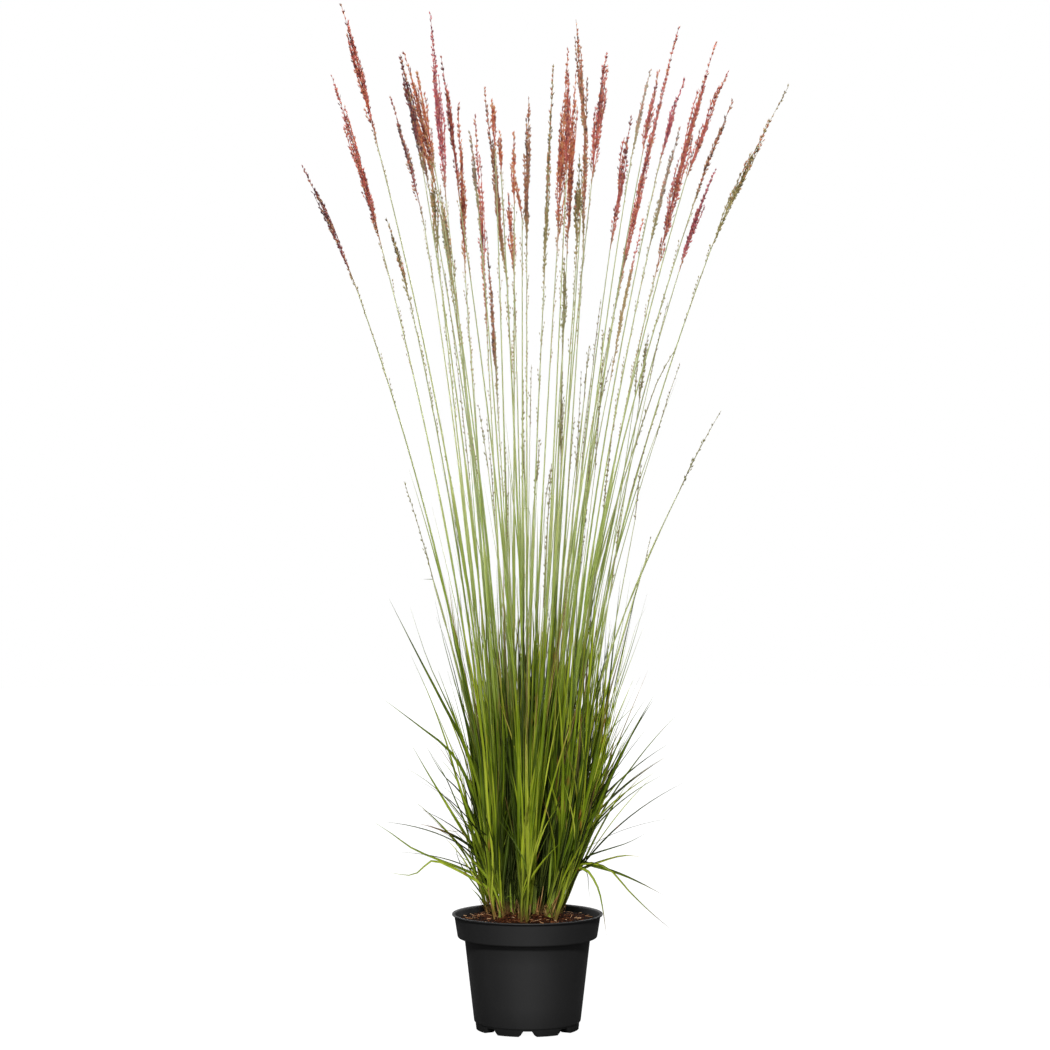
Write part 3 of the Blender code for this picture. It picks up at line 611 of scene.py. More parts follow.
class Clump:
    """The crowns and what has been placed on each."""

    def __init__(self, crowns):
        self.crowns = crowns
        self.culms = []
        self.leaves = []
        self.stems = [[] for _ in crowns]
        self.clearance = Clearance()
        self.rng = random.Random(SEED)

    def nearest(self, x, y, free=None):
        """The crown nearest to a place, of the free ones or of all."""
        aim = Vector((x, y))
        choice = range(len(self.crowns)) if free is None else free
        return min(choice, key=lambda i: (Vector((self.crowns[i].x, self.crowns[i].y)) - aim).length)

    def stem_crown(self, foot):
        """The crown that a stem with this foot would grow from, if the clump fans out evenly."""
        free = [i for i, stems in enumerate(self.stems) if len(stems) < STEMS_PER_CROWN]
        return self.nearest(CLUMP_X + foot.x * STEM_AIM, foot.y * STEM_AIM, free)

    def root_point(self, crown, reach):
        """A point in a crown, some way under its top."""
        angle = self.rng.uniform(0.0, math.tau)
        radius = CROWN_RADIUS * reach * math.sqrt(self.rng.random())
        place = self.crowns[crown]
        height = mound_height(place.x, place.y) + ROOT_RISE
        return Vector((place.x + radius * math.cos(angle), place.y + radius * math.sin(angle), height))

    def place_stem(self, row, order, fused):
        """Places one stem with its plume, trying depths in turn."""
        for attempt in range(STEM_TRIES):
            most = PLUME_DEPTH * row.tip_z / PLUMES[2].tip_z
            depth = spread_depth(row.tip_x, order + attempt * 7, most)
            tip = seen(row.tip_x, row.tip_z, depth)
            foot = seen(row.foot_x, row.foot_z, depth * (row.foot_z / row.tip_z) ** 1.3)
            crown = self.stem_crown(foot)
            root = self.root_point(crown, 0.6)
            path = stem_path(root, foot, tip, STEM_POINTS)
            lift = -2.0 * MM if fused else GAP
            start = foot + (tip - foot).normalized() * lift
            bands = min(max(round((tip - foot).length / BAND_LENGTH), 3), 8)
            stem = rod(path, STEM_ROOT_RADIUS, STEM_TOP_RADIUS)
            wide_stem = rod(path, STEM_ROOT_RADIUS + 2.0 * GAP, STEM_TOP_RADIUS + 2.0 * GAP)
            half_width = row.half_width * MM
            line = plume_path(start, tip, bands)
            plume = feather(line, half_width, random.Random(SEED + order))
            wide_plume = feather(line, half_width + 3.0 * GAP, random.Random(SEED + order))
            if self.clearance.free(wide_stem, crown) and self.clearance.free(wide_plume, None):
                break
        self.clearance.add(stem, crown)
        self.clearance.add(plume, crown if fused else None)
        self.stems[crown].append(path)
        self.culms.append(Culm(crown, row, root, foot, tip, start))

    def fan(self, root, height):
        """Where a leaf from this root stands at a height above it: the clump widens as it rises."""
        grow = 1.0 + 0.5 * (1.0 - math.exp(-height / 0.06)) + 1.1 * height
        middle = CLUMP_X + CLUMP_LEAN * height
        return Vector((middle + (root.x - CLUMP_X) * grow, root.y * grow))

    def leaf_path(self, root, height, lean, droop, count):
        """Points of a leaf that rises, leans and may level off at its tip."""
        points = []
        for step in range(count):
            share = step / (count - 1)
            rise = height * (share - droop * share ** 3) / (1.0 - droop)
            across = self.fan(root, rise) + lean * share ** 2
            points.append(Vector((across.x, across.y, root.z + rise)))
        return points

    def try_leaf(self, crown, points, width, side, kind):
        """Keeps a leaf if it crosses nothing."""
        wide = blade(points, width + 2.0 * GAP, side, LEAF_THICKNESS + 2.0 * GAP)
        if not self.clearance.free(wide, crown):
            return False
        self.clearance.add(blade(points, width, side), crown)
        self.leaves.append(Leaf(crown, points, width, side, kind))
        return True

    def place_leaf(self, crown):
        """Places one leaf that grows from a crown."""
        rng = self.rng
        for _ in range(LEAF_TRIES):
            root = self.root_point(crown, 0.8)
            out = Vector((root.x - CLUMP_X, root.y))
            height = rng.uniform(*LEAF_HEIGHTS)
            lean = out * rng.uniform(-0.1, 0.9) + Vector((rng.gauss(0.0, 0.016), rng.gauss(0.0, 0.016)))
            yaw = math.atan2(out.y, out.x) + math.pi / 2.0 + rng.gauss(0.0, 0.7)
            side = Vector((math.cos(yaw), math.sin(yaw), 0.0))
            width = rng.uniform(*LEAF_WIDTHS) * MM
            points = self.leaf_path(root, height, lean, rng.uniform(0.0, 0.15), 4)
            if self.try_leaf(crown, points, width, side, "shoot"):
                return

    def place_stem_leaf(self, crown, path):
        """Places one leaf that leaves a stem some way up."""
        rng = self.rng
        for _ in range(STEM_LEAF_TRIES):
            start = rng.uniform(*STEM_LEAF_STARTS)
            height = rng.uniform(*STEM_LEAF_HEIGHTS)
            heading = rng.uniform(0.0, math.tau)
            lean = Vector((math.cos(heading), math.sin(heading))) * rng.uniform(*STEM_LEAF_LEANS)
            points = []
            for step in range(4):
                share = step / 3.0
                level = start + height * share
                on_stem = point_at_height(path, PEAT_LEVEL + level)
                points.append(on_stem + Vector((lean.x, lean.y, 0.0)) * share ** 1.3)
            side = Vector((-lean.y, lean.x, 0.0)).normalized()
            if self.try_leaf(crown, points, rng.uniform(*STEM_LEAF_WIDTHS) * MM, side, "flag"):
                return

    def place_stray(self, row, order):
        """Places one leaf that stands clear of the clump, through its own points."""
        width, *places = row
        start_x = places[0][0]
        rng = random.Random(SEED + STRAY_SEED + order)
        for attempt in range(STRAY_TRIES):
            depth = 0.05 * math.sin(1.0 + 2.4 * (order + attempt))
            crown = self.nearest(start_x * MM * LEAF_AIM, depth)
            root = self.root_point(crown, 0.7)
            shown = stray_points(places, depth)
            middle = root.lerp(shown[0], 0.5)
            middle.x += 0.25 * (root.x - shown[0].x)
            points = smooth_path([root, middle] + shown, 7)
            side = Vector((1.0, rng.uniform(-0.8, 0.8), -math.copysign(1.0, start_x)))
            if self.try_leaf(crown, points, width * MM, side, "stray"):
                return


def point_at_height(path, height):
    """The point of a rising path at a height."""
    for low, high in zip(path, path[1:]):
        if high.z >= height:
            return low.lerp(high, (height - low.z) / (high.z - low.z))
    return path[-1]


def smooth_path(knots, count):
    """Evenly spaced points on a Catmull-Rom curve through the knots."""
    fine = []
    for index in range(len(knots) - 1):
        before = knots[max(index - 1, 0)]
        start = knots[index]
        end = knots[index + 1]
        after = knots[min(index + 2, len(knots) - 1)]
        for step in range(8):
            t = step / 8.0
            fine.append(0.5 * (2.0 * start + (end - before) * t
                               + (2.0 * before - 5.0 * start + 4.0 * end - after) * t ** 2
                               + (3.0 * start - before - 3.0 * end + after) * t ** 3))
    fine.append(knots[-1])
    lengths = [0.0]
    for low, high in zip(fine, fine[1:]):
        lengths.append(lengths[-1] + (high - low).length)
    points = []
    for step in range(count):
        wanted = lengths[-1] * step / (count - 1)
        index = max(i for i, length in enumerate(lengths) if length <= wanted + 1e-9)
        if index >= len(fine) - 1:
            points.append(fine[-1])
        else:
            share = (wanted - lengths[index]) / (lengths[index + 1] - lengths[index])
            points.append(fine[index].lerp(fine[index + 1], share))
    return points


def plan_clump():
    """Everything placed in the model's own order: tall stems, panicles, stray leaves, then the rest."""
    clump = Clump(crown_places())
    for order, row in enumerate(PLUMES):
        clump.place_stem(row, order, False)
    for order, row in enumerate(PANICLES):
        clump.place_stem(row, len(PLUMES) + order, True)
    for order, row in enumerate(STRAY_LEAVES):
        clump.place_stray(row, order)
    for crown, place in enumerate(clump.crowns):
        for _ in range(LEAVES_PER_CROWN[place.ring]):
            clump.place_leaf(crown)
        for path in clump.stems[crown][::2]:
            clump.place_stem_leaf(crown, path)
    return clump


# Gathering a piece

FIELDS = ("tone", "run", "across", "dry")


def new_object(name, data):
    """An object that is linked into the scene."""
    made = bpy.data.objects.new(name, data)
    bpy.context.scene.collection.objects.link(made)
    return made


class Bundle:
    """Points and faces of one piece, with the numbers that its material reads at each point.

    tone picks a colour, run goes from root to tip, across from edge to edge, and dry says how withered
    it is. Every long shape also gets a column of its own on the piece's texture map.
    """

    def __init__(self):
        self.points = []
        self.faces = []
        self.fields = []
        self.map = []
        self.size = 0
        self.columns = 0

    def add(self, points, faces, tone, run, across, dry, column=None, height=None):
        """Adds one shape; each number may be one value or one a point. faces are arrays of corners."""
        table = np.empty((len(points), len(FIELDS)))
        for place, values in enumerate((tone, run, across, dry)):
            table[:, place] = values
        if column is None:
            column = self.columns
            self.columns += 1
        spot = np.empty((len(points), 2))
        spot[:, 0] = column + 0.1 + 0.8 * table[:, 2]
        spot[:, 1] = table[:, 1] if height is None else height
        self.points.append(points)
        for group in faces:
            self.faces.extend((group + self.size).tolist())
        self.fields.append(table)
        self.map.append(spot)
        self.size += len(points)

    def piece(self, name, surface, crease=40.0):
        """The finished object."""
        mesh = bpy.data.meshes.new(name)
        mesh.from_pydata(np.concatenate(self.points), [], self.faces)
        table = np.concatenate(self.fields)
        for place, field in enumerate(FIELDS):
            layer = mesh.attributes.new(field, "FLOAT", "POINT")
            layer.data.foreach_set("value", np.ascontiguousarray(table[:, place], dtype=np.float32))
        spots = np.concatenate(self.map)
        spots[:, 0] /= spots[:, 0].max() + 0.1
        corners = np.empty(len(mesh.loops), dtype=np.int32)
        mesh.loops.foreach_get("vertex_index", corners)
        mesh.uv_layers.new(name="OFBake")
        mesh.uv_layers["OFBake"].data.foreach_set("uv", spots[corners].astype(np.float32).ravel())
        mesh.materials.append(surface)
        mesh.shade_smooth()
        mesh.set_sharp_from_angle(angle=math.radians(crease))
        return new_object(name, mesh)


def loft_faces(levels, sides, open_tip):
    """Corners of the faces round rings of equal size, with a cap at each end or a point at the tip."""
    side = np.arange(sides)
    after = (side + 1) % sides
    low = np.arange(levels - 1)[:, None] * sides
    walls = np.stack([low + side, low + after, low + sides + after, low + sides + side], axis=-1)
    faces = [walls.reshape(-1, 4), side[::-1][None]]
    last = (levels - 1) * sides
    if open_tip:
        faces.append(np.stack([last + side, last + after, np.full(sides, last + sides)], axis=-1))
    else:
        faces.append((last + side)[None])
    return faces


def circle(count):
    """Evenly spaced points of a level circle with a radius of one."""
    angle = np.arange(count) * math.tau / count
    return np.stack([np.cos(angle), np.sin(angle), np.zeros(count)], axis=1)


def there_and_back(count):
    """A number round a ring that rises from 0 to 1 and falls back, so that no seam shows."""
    return 1.0 - np.abs(np.arange(count) / count * 2.0 - 1.0)


def read_path(path, levels, wanted):
    """Points of a path, read where its levels pass the wanted ones."""
    return np.stack([np.interp(wanted, levels, path[:, axis]) for axis in range(3)], axis=-1)


def random_heading(rng):
    """A level direction drawn at random."""
    turn = rng.uniform(0.0, math.tau)
    return np.array((math.cos(turn), math.sin(turn), 0.0))


def frames(path, side):
    """Along, across and upper-face directions at each point of a path; side is one or one a point."""
    along = np.gradient(path, axis=0)
    along /= np.linalg.norm(along, axis=1)[:, None]
    across = side - along * np.sum(along * side, axis=1)[:, None]
    across /= np.linalg.norm(across, axis=1)[:, None]
    return along, across, np.cross(along, across)


def add_tube(bundle, path, radii, sides, tone, run, dry=0.0, column=None, flat=1.0):
    """A round or flattened stem along a path, closed by a short point."""

    def spread(values):
        values = np.broadcast_to(values, len(path))
        return np.append(np.repeat(values, sides), values[-1])

    _, across, upper = frames(path, np.array((1.0, 0.0, 0.0)))
    x, y, _ = circle(sides).T
    spokes = across[:, None] * (flat * x)[:, None] + upper[:, None] * y[:, None]
    rings = path[:, None] + spokes * np.broadcast_to(radii, len(path))[:, None, None]
    tip = path[-1] + (path[-1] - path[-2]) * 0.1
    points = np.concatenate([rings.reshape(-1, 3), tip[None]])
    across_share = np.append(np.tile(there_and_back(sides), len(path)), 0.5)
    faces = loft_faces(len(path), sides, True)
    bundle.add(points, faces, spread(tone), spread(run), across_share, spread(dry), column)


def add_leaf(bundle, path, width, side, tone, dry=0.0, twist=0.0, fold=0.4):
    """A grass leaf along a path: folded along its midrib, thin at its edges, drawn out to a hair."""
    share = np.linspace(0.0, 1.0, len(path))
    tone = np.broadcast_to(tone, len(path))
    tone = np.append(np.repeat(tone, 4), tone[-1])
    along, across, upper = frames(path, side)
    turn = (twist * share)[:, None]
    across, upper = (across * np.cos(turn) + upper * np.sin(turn),
                     upper * np.cos(turn) - across * np.sin(turn))
    grow = np.minimum(0.36 + 2.2 * share, 1.0) * (1.0 - share ** 2.0)
    half = (np.maximum(grow, 0.04) * width / 2.0)[:, None]
    thick = EDGE_THICKNESS * (1.0 - 0.8 * share)[:, None]
    bend = (fold + (1.1 - fold) * (1.0 - smooth_step(share / 0.3)))[:, None]
    left = path + (across * np.cos(bend) + upper * np.sin(bend)) * half
    right = path + (upper * np.sin(bend) - across * np.cos(bend)) * half
    rings = np.stack([left, path + upper * thick * 0.3, right, path - upper * thick], axis=1)
    points = np.concatenate([rings.reshape(-1, 3), (path[-1] + along[-1] * width)[None]])
    run = np.append(np.repeat(share, 4), 1.0)
    across_share = np.append(np.tile((0.0, 0.5, 1.0, 0.5), len(path)), 0.5)
    withered = np.clip(dry * (0.2 + 1.4 * run ** 2), 0.0, 1.0)
    bundle.add(points, loft_faces(len(path), 4, True), tone, run, across_share, withered)


# Spikelets and plumes

def husk_pair():
    """Two slim husks side by side, one unit long and about one wide each way, with their faces."""
    points = []
    faces = []
    for lean in (-1.0, 1.0):
        start = len(points)
        points.append((0.15 * lean, 0.0, 0.0))
        for corner in range(4):
            angle = corner * math.tau / 4.0
            points.append((0.55 * lean + 0.75 * math.cos(angle), 0.75 * math.sin(angle),
                           0.38 + 0.05 * lean))
        points.append((0.75 * lean, 0.0, 1.0 - 0.08 * (lean + 1.0)))
        for corner in range(4):
            after = (corner + 1) % 4
            faces.append((start, start + 1 + after, start + 1 + corner))
            faces.append((start + 1 + corner, start + 1 + after, start + 5))
    return np.array(points), np.array(faces)


HUSK_POINTS, HUSK_FACES = husk_pair()


def unit(vectors):
    """The same directions with a length of one."""
    return vectors / np.linalg.norm(vectors, axis=-1, keepdims=True)


def add_spikelets(bundle, origin, along, length, radius, tone, run, dry, rng):
    """Many spikelets at once, each a pair of husks."""
    count = len(origin)
    size = len(HUSK_POINTS)

    def each(values):
        return np.repeat(np.broadcast_to(values, count), size)

    along = unit(along)
    across = unit(np.cross(along, unit(rng.normal(size=(count, 3)))))
    upper = np.cross(along, across)
    x, y, z = HUSK_POINTS.T
    points = (origin[:, None] + across[:, None] * (x[:, None] * radius[:, None, None])
              + upper[:, None] * (y[:, None] * radius[:, None, None])
              + along[:, None] * (z[:, None] * length[:, None, None]))
    faces = (HUSK_FACES[None] + (np.arange(count) * size)[:, None, None]).reshape(-1, 3)
    tone = np.clip(tone, 0.0, 1.0)
    column = np.floor(each(tone) * (TONE_COLUMNS - 0.01))
    bundle.columns = max(bundle.columns, TONE_COLUMNS)
    height = np.clip(each(run) + 0.02 * (np.tile(z, count) - 0.5), 0.0, 1.0)
    bundle.add(points.reshape(-1, 3), [faces], each(tone), each(run), np.tile(z, count), each(dry),
               column, height)


def points_along(path, share):
    """Points at shares of a path's length."""
    return read_path(path, np.linspace(0.0, 1.0, len(path)), share)


def add_plume(bundle, start, tip, half_width, rng, tone, dry=0.0, spacing=1.0):
    """A narrow plume: its main strand, and beside it the strands of its longest branches."""
    axis = np.array(plume_path(start, tip, PLUME_LEVELS - 2))
    strands = int(half_width / MM * STRANDS_A_MM) if spacing < OPEN_SPACING else 0
    width, step = (MAIN_WIDTH, MAIN_SPACING) if strands > 1 else (1.0, 1.0)
    add_strand(bundle, axis, (0.0, 1.0), half_width * width, rng, tone, dry, spacing * step)
    for _ in range(strands):
        first = rng.uniform(*STRAND_STARTS)
        last = min(first + rng.uniform(*STRAND_LENGTHS), 0.92)
        out = random_heading(rng) * (1.0, 0.6, 0.0) * half_width * rng.uniform(*STRAND_REACHES)
        share = np.linspace(0.0, 1.0, 12)
        bow = share ** 0.8 * (1.0 - 0.45 * share ** 2)
        path = points_along(axis, first + (last - first) * share) + out * bow[:, None]
        own_tone = tone + rng.normal(0.0, 0.22)
        add_strand(bundle, path, (first, last), half_width * STRAND_WIDTH, rng, own_tone, dry,
                   STRAND_SPACING)


def add_strand(bundle, axis, span, half_width, rng, tone, dry, spacing):
    """A rachis with whorls of short upright branches, each set with spikelets."""
    length = np.linalg.norm(np.diff(axis, axis=0), axis=1).sum()
    along, across, upper = frames(axis, np.array((0.0, 1.0, 0.0)))

    def runs_over(share):
        return span[0] + share * (span[1] - span[0])

    levels = runs_over(np.linspace(0.0, 1.0, len(axis)))
    add_tube(bundle, axis, np.linspace(0.8, 0.3, len(axis)) * MM, 5, tone * 0.6, levels, dry, 0)
    bulk = half_width / MM
    origins, headings, runs, tones = [], [], [], []
    share = 0.01
    swell = rng.uniform(0.0, math.tau)
    while share < 0.98:
        body = min(0.45 + 3.0 * share, 1.0) * (1.0 - share ** 1.6)
        lush = 0.70 + 0.45 * math.sin(swell + share * length / 0.009)
        filled = min(0.20 + 2.2 * runs_over(share), 1.0) * (1.0 - 0.6 * share ** 2)
        fullness = WHORL_BRANCHES * (bulk / 4.0) * lush * filled / spacing
        for _ in range(max(rng.poisson(fullness), 1)):
            turn = rng.uniform(0.0, math.tau)
            spot = min(int(share * (len(axis) - 1)), len(axis) - 2)
            out = across[spot] * math.cos(turn) + upper[spot] * math.sin(turn)
            room = (1.0 - share) * length
            reach = min(rng.uniform(0.25, 1.0) * BRANCH_LENGTH * (1.0 - 0.4 * share), room)
            proud = rng.uniform(1.1, 1.5) if rng.random() < PROUD_SHARE else rng.uniform(0.1, 0.9)
            count = max(int(reach / (SPIKELET_STEP * spacing ** 1.5)), 1)
            climb = np.linspace(0.25, 1.0, count)
            spread = half_width * body * proud * (1.0 - np.exp(-3.0 * climb))
            place = points_along(axis, np.minimum(share + climb * reach / length, 1.0))
            place += out * spread[:, None]
            twig = np.concatenate([points_along(axis, np.array([share])), place])
            twig = twig[::max(len(twig) // 4, 1)]
            add_tube(bundle, twig, TWIG_RADIUS, 3, tone * 0.5, levels[spot], dry, 0)
            weave = np.where(np.arange(count) % 2 == 0, 1.0, -1.0)[:, None]
            aside = np.cross(out, along[spot])
            heading = along[spot] + out * rng.uniform(0.0, 0.5, count)[:, None]
            headings.append(heading + aside * weave * rng.uniform(0.05, 0.35, count)[:, None])
            origins.append(place)
            runs.append(runs_over(share + climb * reach / length))
            tones.append(np.full(count, tone + rng.normal(0.0, 0.16)))
        share += WHORL_STEP * rng.uniform(0.7, 1.3) / length
    origins = np.concatenate(origins)
    count = len(origins)
    mottle = np.array([noise.noise(Vector(spot) * MOTTLE_SCALE) for spot in origins])
    size = spacing ** -0.4
    add_spikelets(bundle, origins, np.concatenate(headings), size * rng.uniform(*HUSK_LENGTHS, count),
                  size * rng.uniform(*HUSK_RADII, count) * MM,
                  np.concatenate(tones) + MOTTLE_DEPTH * mottle + rng.normal(0.0, 0.36, count),
                  np.clip(np.concatenate(runs), 0.0, 1.0), dry, rng)


def add_tail(bundle, culm, rng, tone):
    """The lowest branches of a plume: far apart, pressed to the stem, with few spikelets."""
    path = np.array(stem_path(culm.root, culm.foot, culm.tip, CULM_LEVELS))
    fall = path[-1, 2] - path[:, 2]

    def down(depth):
        return read_path(path[::-1], fall[::-1], depth)

    depth = TAIL_START
    end = rng.uniform(*TAIL_LENGTHS)
    while depth < end:
        out = random_heading(rng)
        reach = min(rng.uniform(*TAIL_REACHES), depth)
        count = max(int(reach / (1.4 * SPIKELET_STEP)), 2)
        climb = np.linspace(0.3, 1.0, count)
        place = down(depth - climb * reach) + out * (rng.uniform(1.5, 3.5) * MM * climb)[:, None]
        twig = np.concatenate([down(np.array([depth])), place])
        add_tube(bundle, twig, TWIG_RADIUS, 3, 0.3, 0.0, 0.0, 0)
        heading = TOP_ROW + out * rng.uniform(0.0, 0.3, count)[:, None]
        add_spikelets(bundle, place, heading, rng.uniform(*TAIL_HUSK_LENGTHS, count),
                      rng.uniform(*TAIL_HUSK_RADII, count) * MM, tone + rng.normal(0.0, 0.2, count),
                      np.full(count, -0.25), 0.0, rng)
        depth += TAIL_STEP * rng.uniform(0.5, 1.6)


# Tufts

def leaf_line(points):
    """Finely stepped line of a leaf through these points."""
    return np.array(smooth_path(points, LEAF_LEVELS + 2))


def smooth_step(value):
    """From 0 to 1 with a gentle start and end."""
    value = np.clip(value, 0.0, 1.0)
    return value * value * (3.0 - 2.0 * value)


def drawn_in(path, hold=1.0):
    """Foliage brought nearer the middle of the clump, more at its foot and on its left side."""
    rise = path[:, 2] - PEAT_LEVEL - PEAT_MOUND
    middle = CLUMP_X + CLUMP_LEAN * np.maximum(rise, 0.0)
    aside = path[:, 0] - middle
    left = np.interp(rise, NARROW_RISES, NARROW_LEFT)
    share = np.where(aside < 0.0, left, np.interp(rise, NARROW_RISES, NARROW_RIGHT))
    moved = path.copy()
    moved[:, 0] = middle + aside * (1.0 + hold * (share - 1.0))
    return moved


class Shoot:
    """One shoot of a tuft: the line its sheath follows, which its leaves leave one by one."""

    def __init__(self, clump, spot, rng):
        self.clump = clump
        self.root = Vector((spot[0], spot[1], mound_height(*spot)))
        self.height = rng.uniform(*SHEATH_HEIGHTS)
        self.lean = rng.normal(0.0, 0.010, 2)
        self.tone = rng.uniform(0.1, 0.9)
        # Painted shade: shoots near the middle of the clump get darker leaves, standing in for the shade
        # inside it.
        inner = 1.0 - math.hypot(self.root.x - CLUMP_X, self.root.y) / PAINTED_SHADE_RADIUS
        self.painted_shade_depth = INNER_PAINTED_SHADE * smooth_step(np.array(inner * 2.0))

    def shade(self, rise):
        """Painted shade: how much darker its leaves are painted at heights above its root, in place of the
        shade inside the clump.
        """
        return self.painted_shade_depth * (1.0 - smooth_step(np.asarray(rise) / PAINTED_SHADE_HEIGHT))

    def at(self, rise):
        """Points of the shoot's line at heights above its root."""
        rise = np.atleast_1d(rise)
        middle = [self.clump.fan(self.root, max(level, 0.0)) for level in rise]
        across = np.array(middle) + self.lean * smooth_step(rise / 0.5)[:, None]
        return drawn_in(np.column_stack([across, self.root.z + rise]))


def crown_shoots(clump, order, rng):
    """The shoots of one crown, with a few beside it that fill the space between crowns."""
    crown = clump.crowns[order]
    start = rng.uniform(0.0, math.tau)
    spots = [rng.normal(0.0, 0.0015, 2)]
    for step in range(SHOOTS_PER_CROWN - 1):
        turn = start + (step + rng.uniform(-0.25, 0.25)) * math.tau / (SHOOTS_PER_CROWN - 1)
        spots.append(np.array((math.cos(turn), math.sin(turn))) * CROWN_RADIUS * rng.uniform(0.6, 0.9))
    for _ in range(FILLERS_PER_CROWN):
        spots.append(random_heading(rng)[:2] * CROWN_RADIUS * rng.uniform(*FILLER_REACH))
    middle = np.array((crown.x, crown.y))
    return [Shoot(clump, off_bare_patches(middle + spot), rng) for spot in spots]


def off_bare_patches(spot):
    """Moves the foot of a shoot out of the patches where bare peat shows."""
    for x, y, radius in BARE_PATCHES:
        away = spot - np.array((x, y))
        distance = max(np.linalg.norm(away), 0.1 * MM)
        if distance < radius:
            spot = spot + away / distance * (radius - distance)
    return spot


def add_sheath(bundle, shoot, rng):
    """The rolled leaf bases at the foot of a shoot: an outer one and a longer one inside it."""
    old = shoot.root.x < STRAW_X and shoot.root.y < 0.02
    straw = rng.random() < (STRAW_SHARE if old else STRAW_ELSEWHERE)
    radius = rng.uniform(*SHEATH_RADII) * MM
    for share, size, dry in ((0.5, 1.0, 1.6 if straw else 0.0), (1.0, 0.8, 0.0)):
        levels = np.linspace(0.0, shoot.height * share, 7)
        path = shoot.at(levels)
        path[0, 2] -= ROOT_SINK
        radii = radius * size * np.linspace(1.0, 0.55, len(levels))
        # Painted shade on the inner shoots lowers the tone here.
        tone = shoot.tone - shoot.shade(levels)
        add_tube(bundle, path, radii, 7, tone, np.linspace(0.0, 0.2 * share, len(levels)), dry,
                 flat=SHEATH_FLATNESS)


def add_planned_leaf(bundle, leaf, shoots, rng):
    """A leaf of the plan; its foot is gathered into the nearest shoot."""
    path = leaf_line(leaf.points)
    side = np.array(leaf.side)
    width = leaf.width
    tone = rng.uniform(0.1, 0.9)
    if leaf.kind == "shoot":
        path = drawn_in(path)
    elif leaf.kind == "stray":
        side = facing_side(path, rng)
        width *= STRAY_WIDTH
    if leaf.kind != "flag":
        shoot = min(shoots, key=lambda one: (one.root - leaf.points[0]).length)
        gather(path, shoot)
        if leaf.kind == "shoot":
            # Painted shade on the inner shoots lowers the tone here.
            tone = tone - shoot.shade(path[:, 2] - shoot.root.z)
    add_leaf(bundle, path, width, side, tone, dryness(rng), rng.normal(0.0, 0.5))


def gather(path, shoot):
    """Brings the foot of a leaf into its shoot."""
    rise = path[:, 2] - shoot.root.z
    pull = 1.0 - smooth_step(np.maximum.accumulate(rise) / GATHER_HEIGHT)
    path[:, :2] += (shoot.at(rise)[:, :2] - path[:, :2]) * pull[:, None]


def facing_side(path, rng):
    """Sideways directions that lay a leaf broadside to the front, tilted a little."""
    along = unit(np.gradient(path, axis=0))
    side = unit(np.cross(along, np.array((0.0, 1.0, 0.0))))
    return side + np.array((0.0, rng.uniform(-0.6, 0.6), 0.0))


def add_thin_stray(bundle, row, shoots, rng):
    """A thin leaf that stands clear of the clump, through its own points."""
    width, *places = row
    shown = stray_points(places, rng.uniform(-0.04, 0.04))
    shoot = min(shoots, key=lambda one: (one.root - shown[0]).length)
    middle = shoot.root.lerp(shown[0], 0.5)
    path = leaf_line([shoot.root, middle] + shown)
    gather(path, shoot)
    add_leaf(bundle, path, width * MM, facing_side(path, rng), rng.uniform(0.2, 0.8), dryness(rng), 0.3)


def dryness(rng):
    """Most leaves are fresh; some have a withered tip."""
    return rng.uniform(0.25, 0.5) if rng.random() < DRY_SHARE else 0.0


def add_young_leaf(bundle, shoot, rng):
    """A leaf that leaves its shoot out of the sheath and spreads as it rises."""
    leave = shoot.height * rng.uniform(0.3, 1.0)
    top = min(leave + rng.uniform(*YOUNG_LENGTHS), rng.uniform(*LEAF_TOPS))
    out = np.array((shoot.root.x - CLUMP_X, shoot.root.y))
    drift = rng.normal(0.0, 0.027, 2) + out * rng.uniform(-0.25, 0.30)
    if rng.random() < LOOSE_SHARE and abs(out[0]) > 0.03:
        drift += out / np.linalg.norm(out) * rng.uniform(*LOOSE_LEAN)
        top = leave + (top - leave) * rng.uniform(0.5, 1.0)
    rise = np.linspace(leave, top, LEAF_LEVELS)
    add_shoot_leaf(bundle, shoot, rise, drift, rng.uniform(*YOUNG_WIDTHS) * MM, rng)


def add_shoot_leaf(bundle, shoot, rise, drift, width, rng):
    """A leaf that follows its shoot from one height to another and drifts away from it."""
    share = (rise - rise[0]) / (rise[-1] - rise[0])
    path = shoot.at(rise)
    path[:, :2] += drift * (share ** 1.5)[:, None]
    path[:, 2] -= np.linalg.norm(drift) * LEAF_SAG * share ** 2
    path[:, 0] += rng.uniform(-1.0, 1.0) * LEAF_SWAY * np.sin(share * rng.uniform(2.0, 5.0))
    out = np.array((shoot.root.x - CLUMP_X, shoot.root.y)) + drift + rng.normal(0.0, 0.02, 2)
    side = unit(np.array((-out[1], out[0], 0.0)))
    # Painted shade on the inner shoots lowers the tone here.
    tone = np.clip(shoot.tone + rng.normal(0.0, 0.25), 0.0, 1.0) - shoot.shade(rise)
    add_leaf(bundle, path, width, side, tone, dryness(rng), rng.normal(0.0, 0.9), rng.uniform(0.2, 0.9))


def add_short_leaf(bundle, shoot, rng):
    """A short leaf low on its shoot that crosses its neighbours."""
    leave = shoot.height * rng.uniform(0.15, 0.6)
    rise = np.linspace(leave, leave + rng.uniform(*SHORT_LENGTHS), LEAF_LEVELS - 4)
    drift = random_heading(rng)[:2] * rng.uniform(*SHORT_DRIFTS)
    add_shoot_leaf(bundle, shoot, rise, drift, rng.uniform(*SHORT_WIDTHS) * MM, rng)


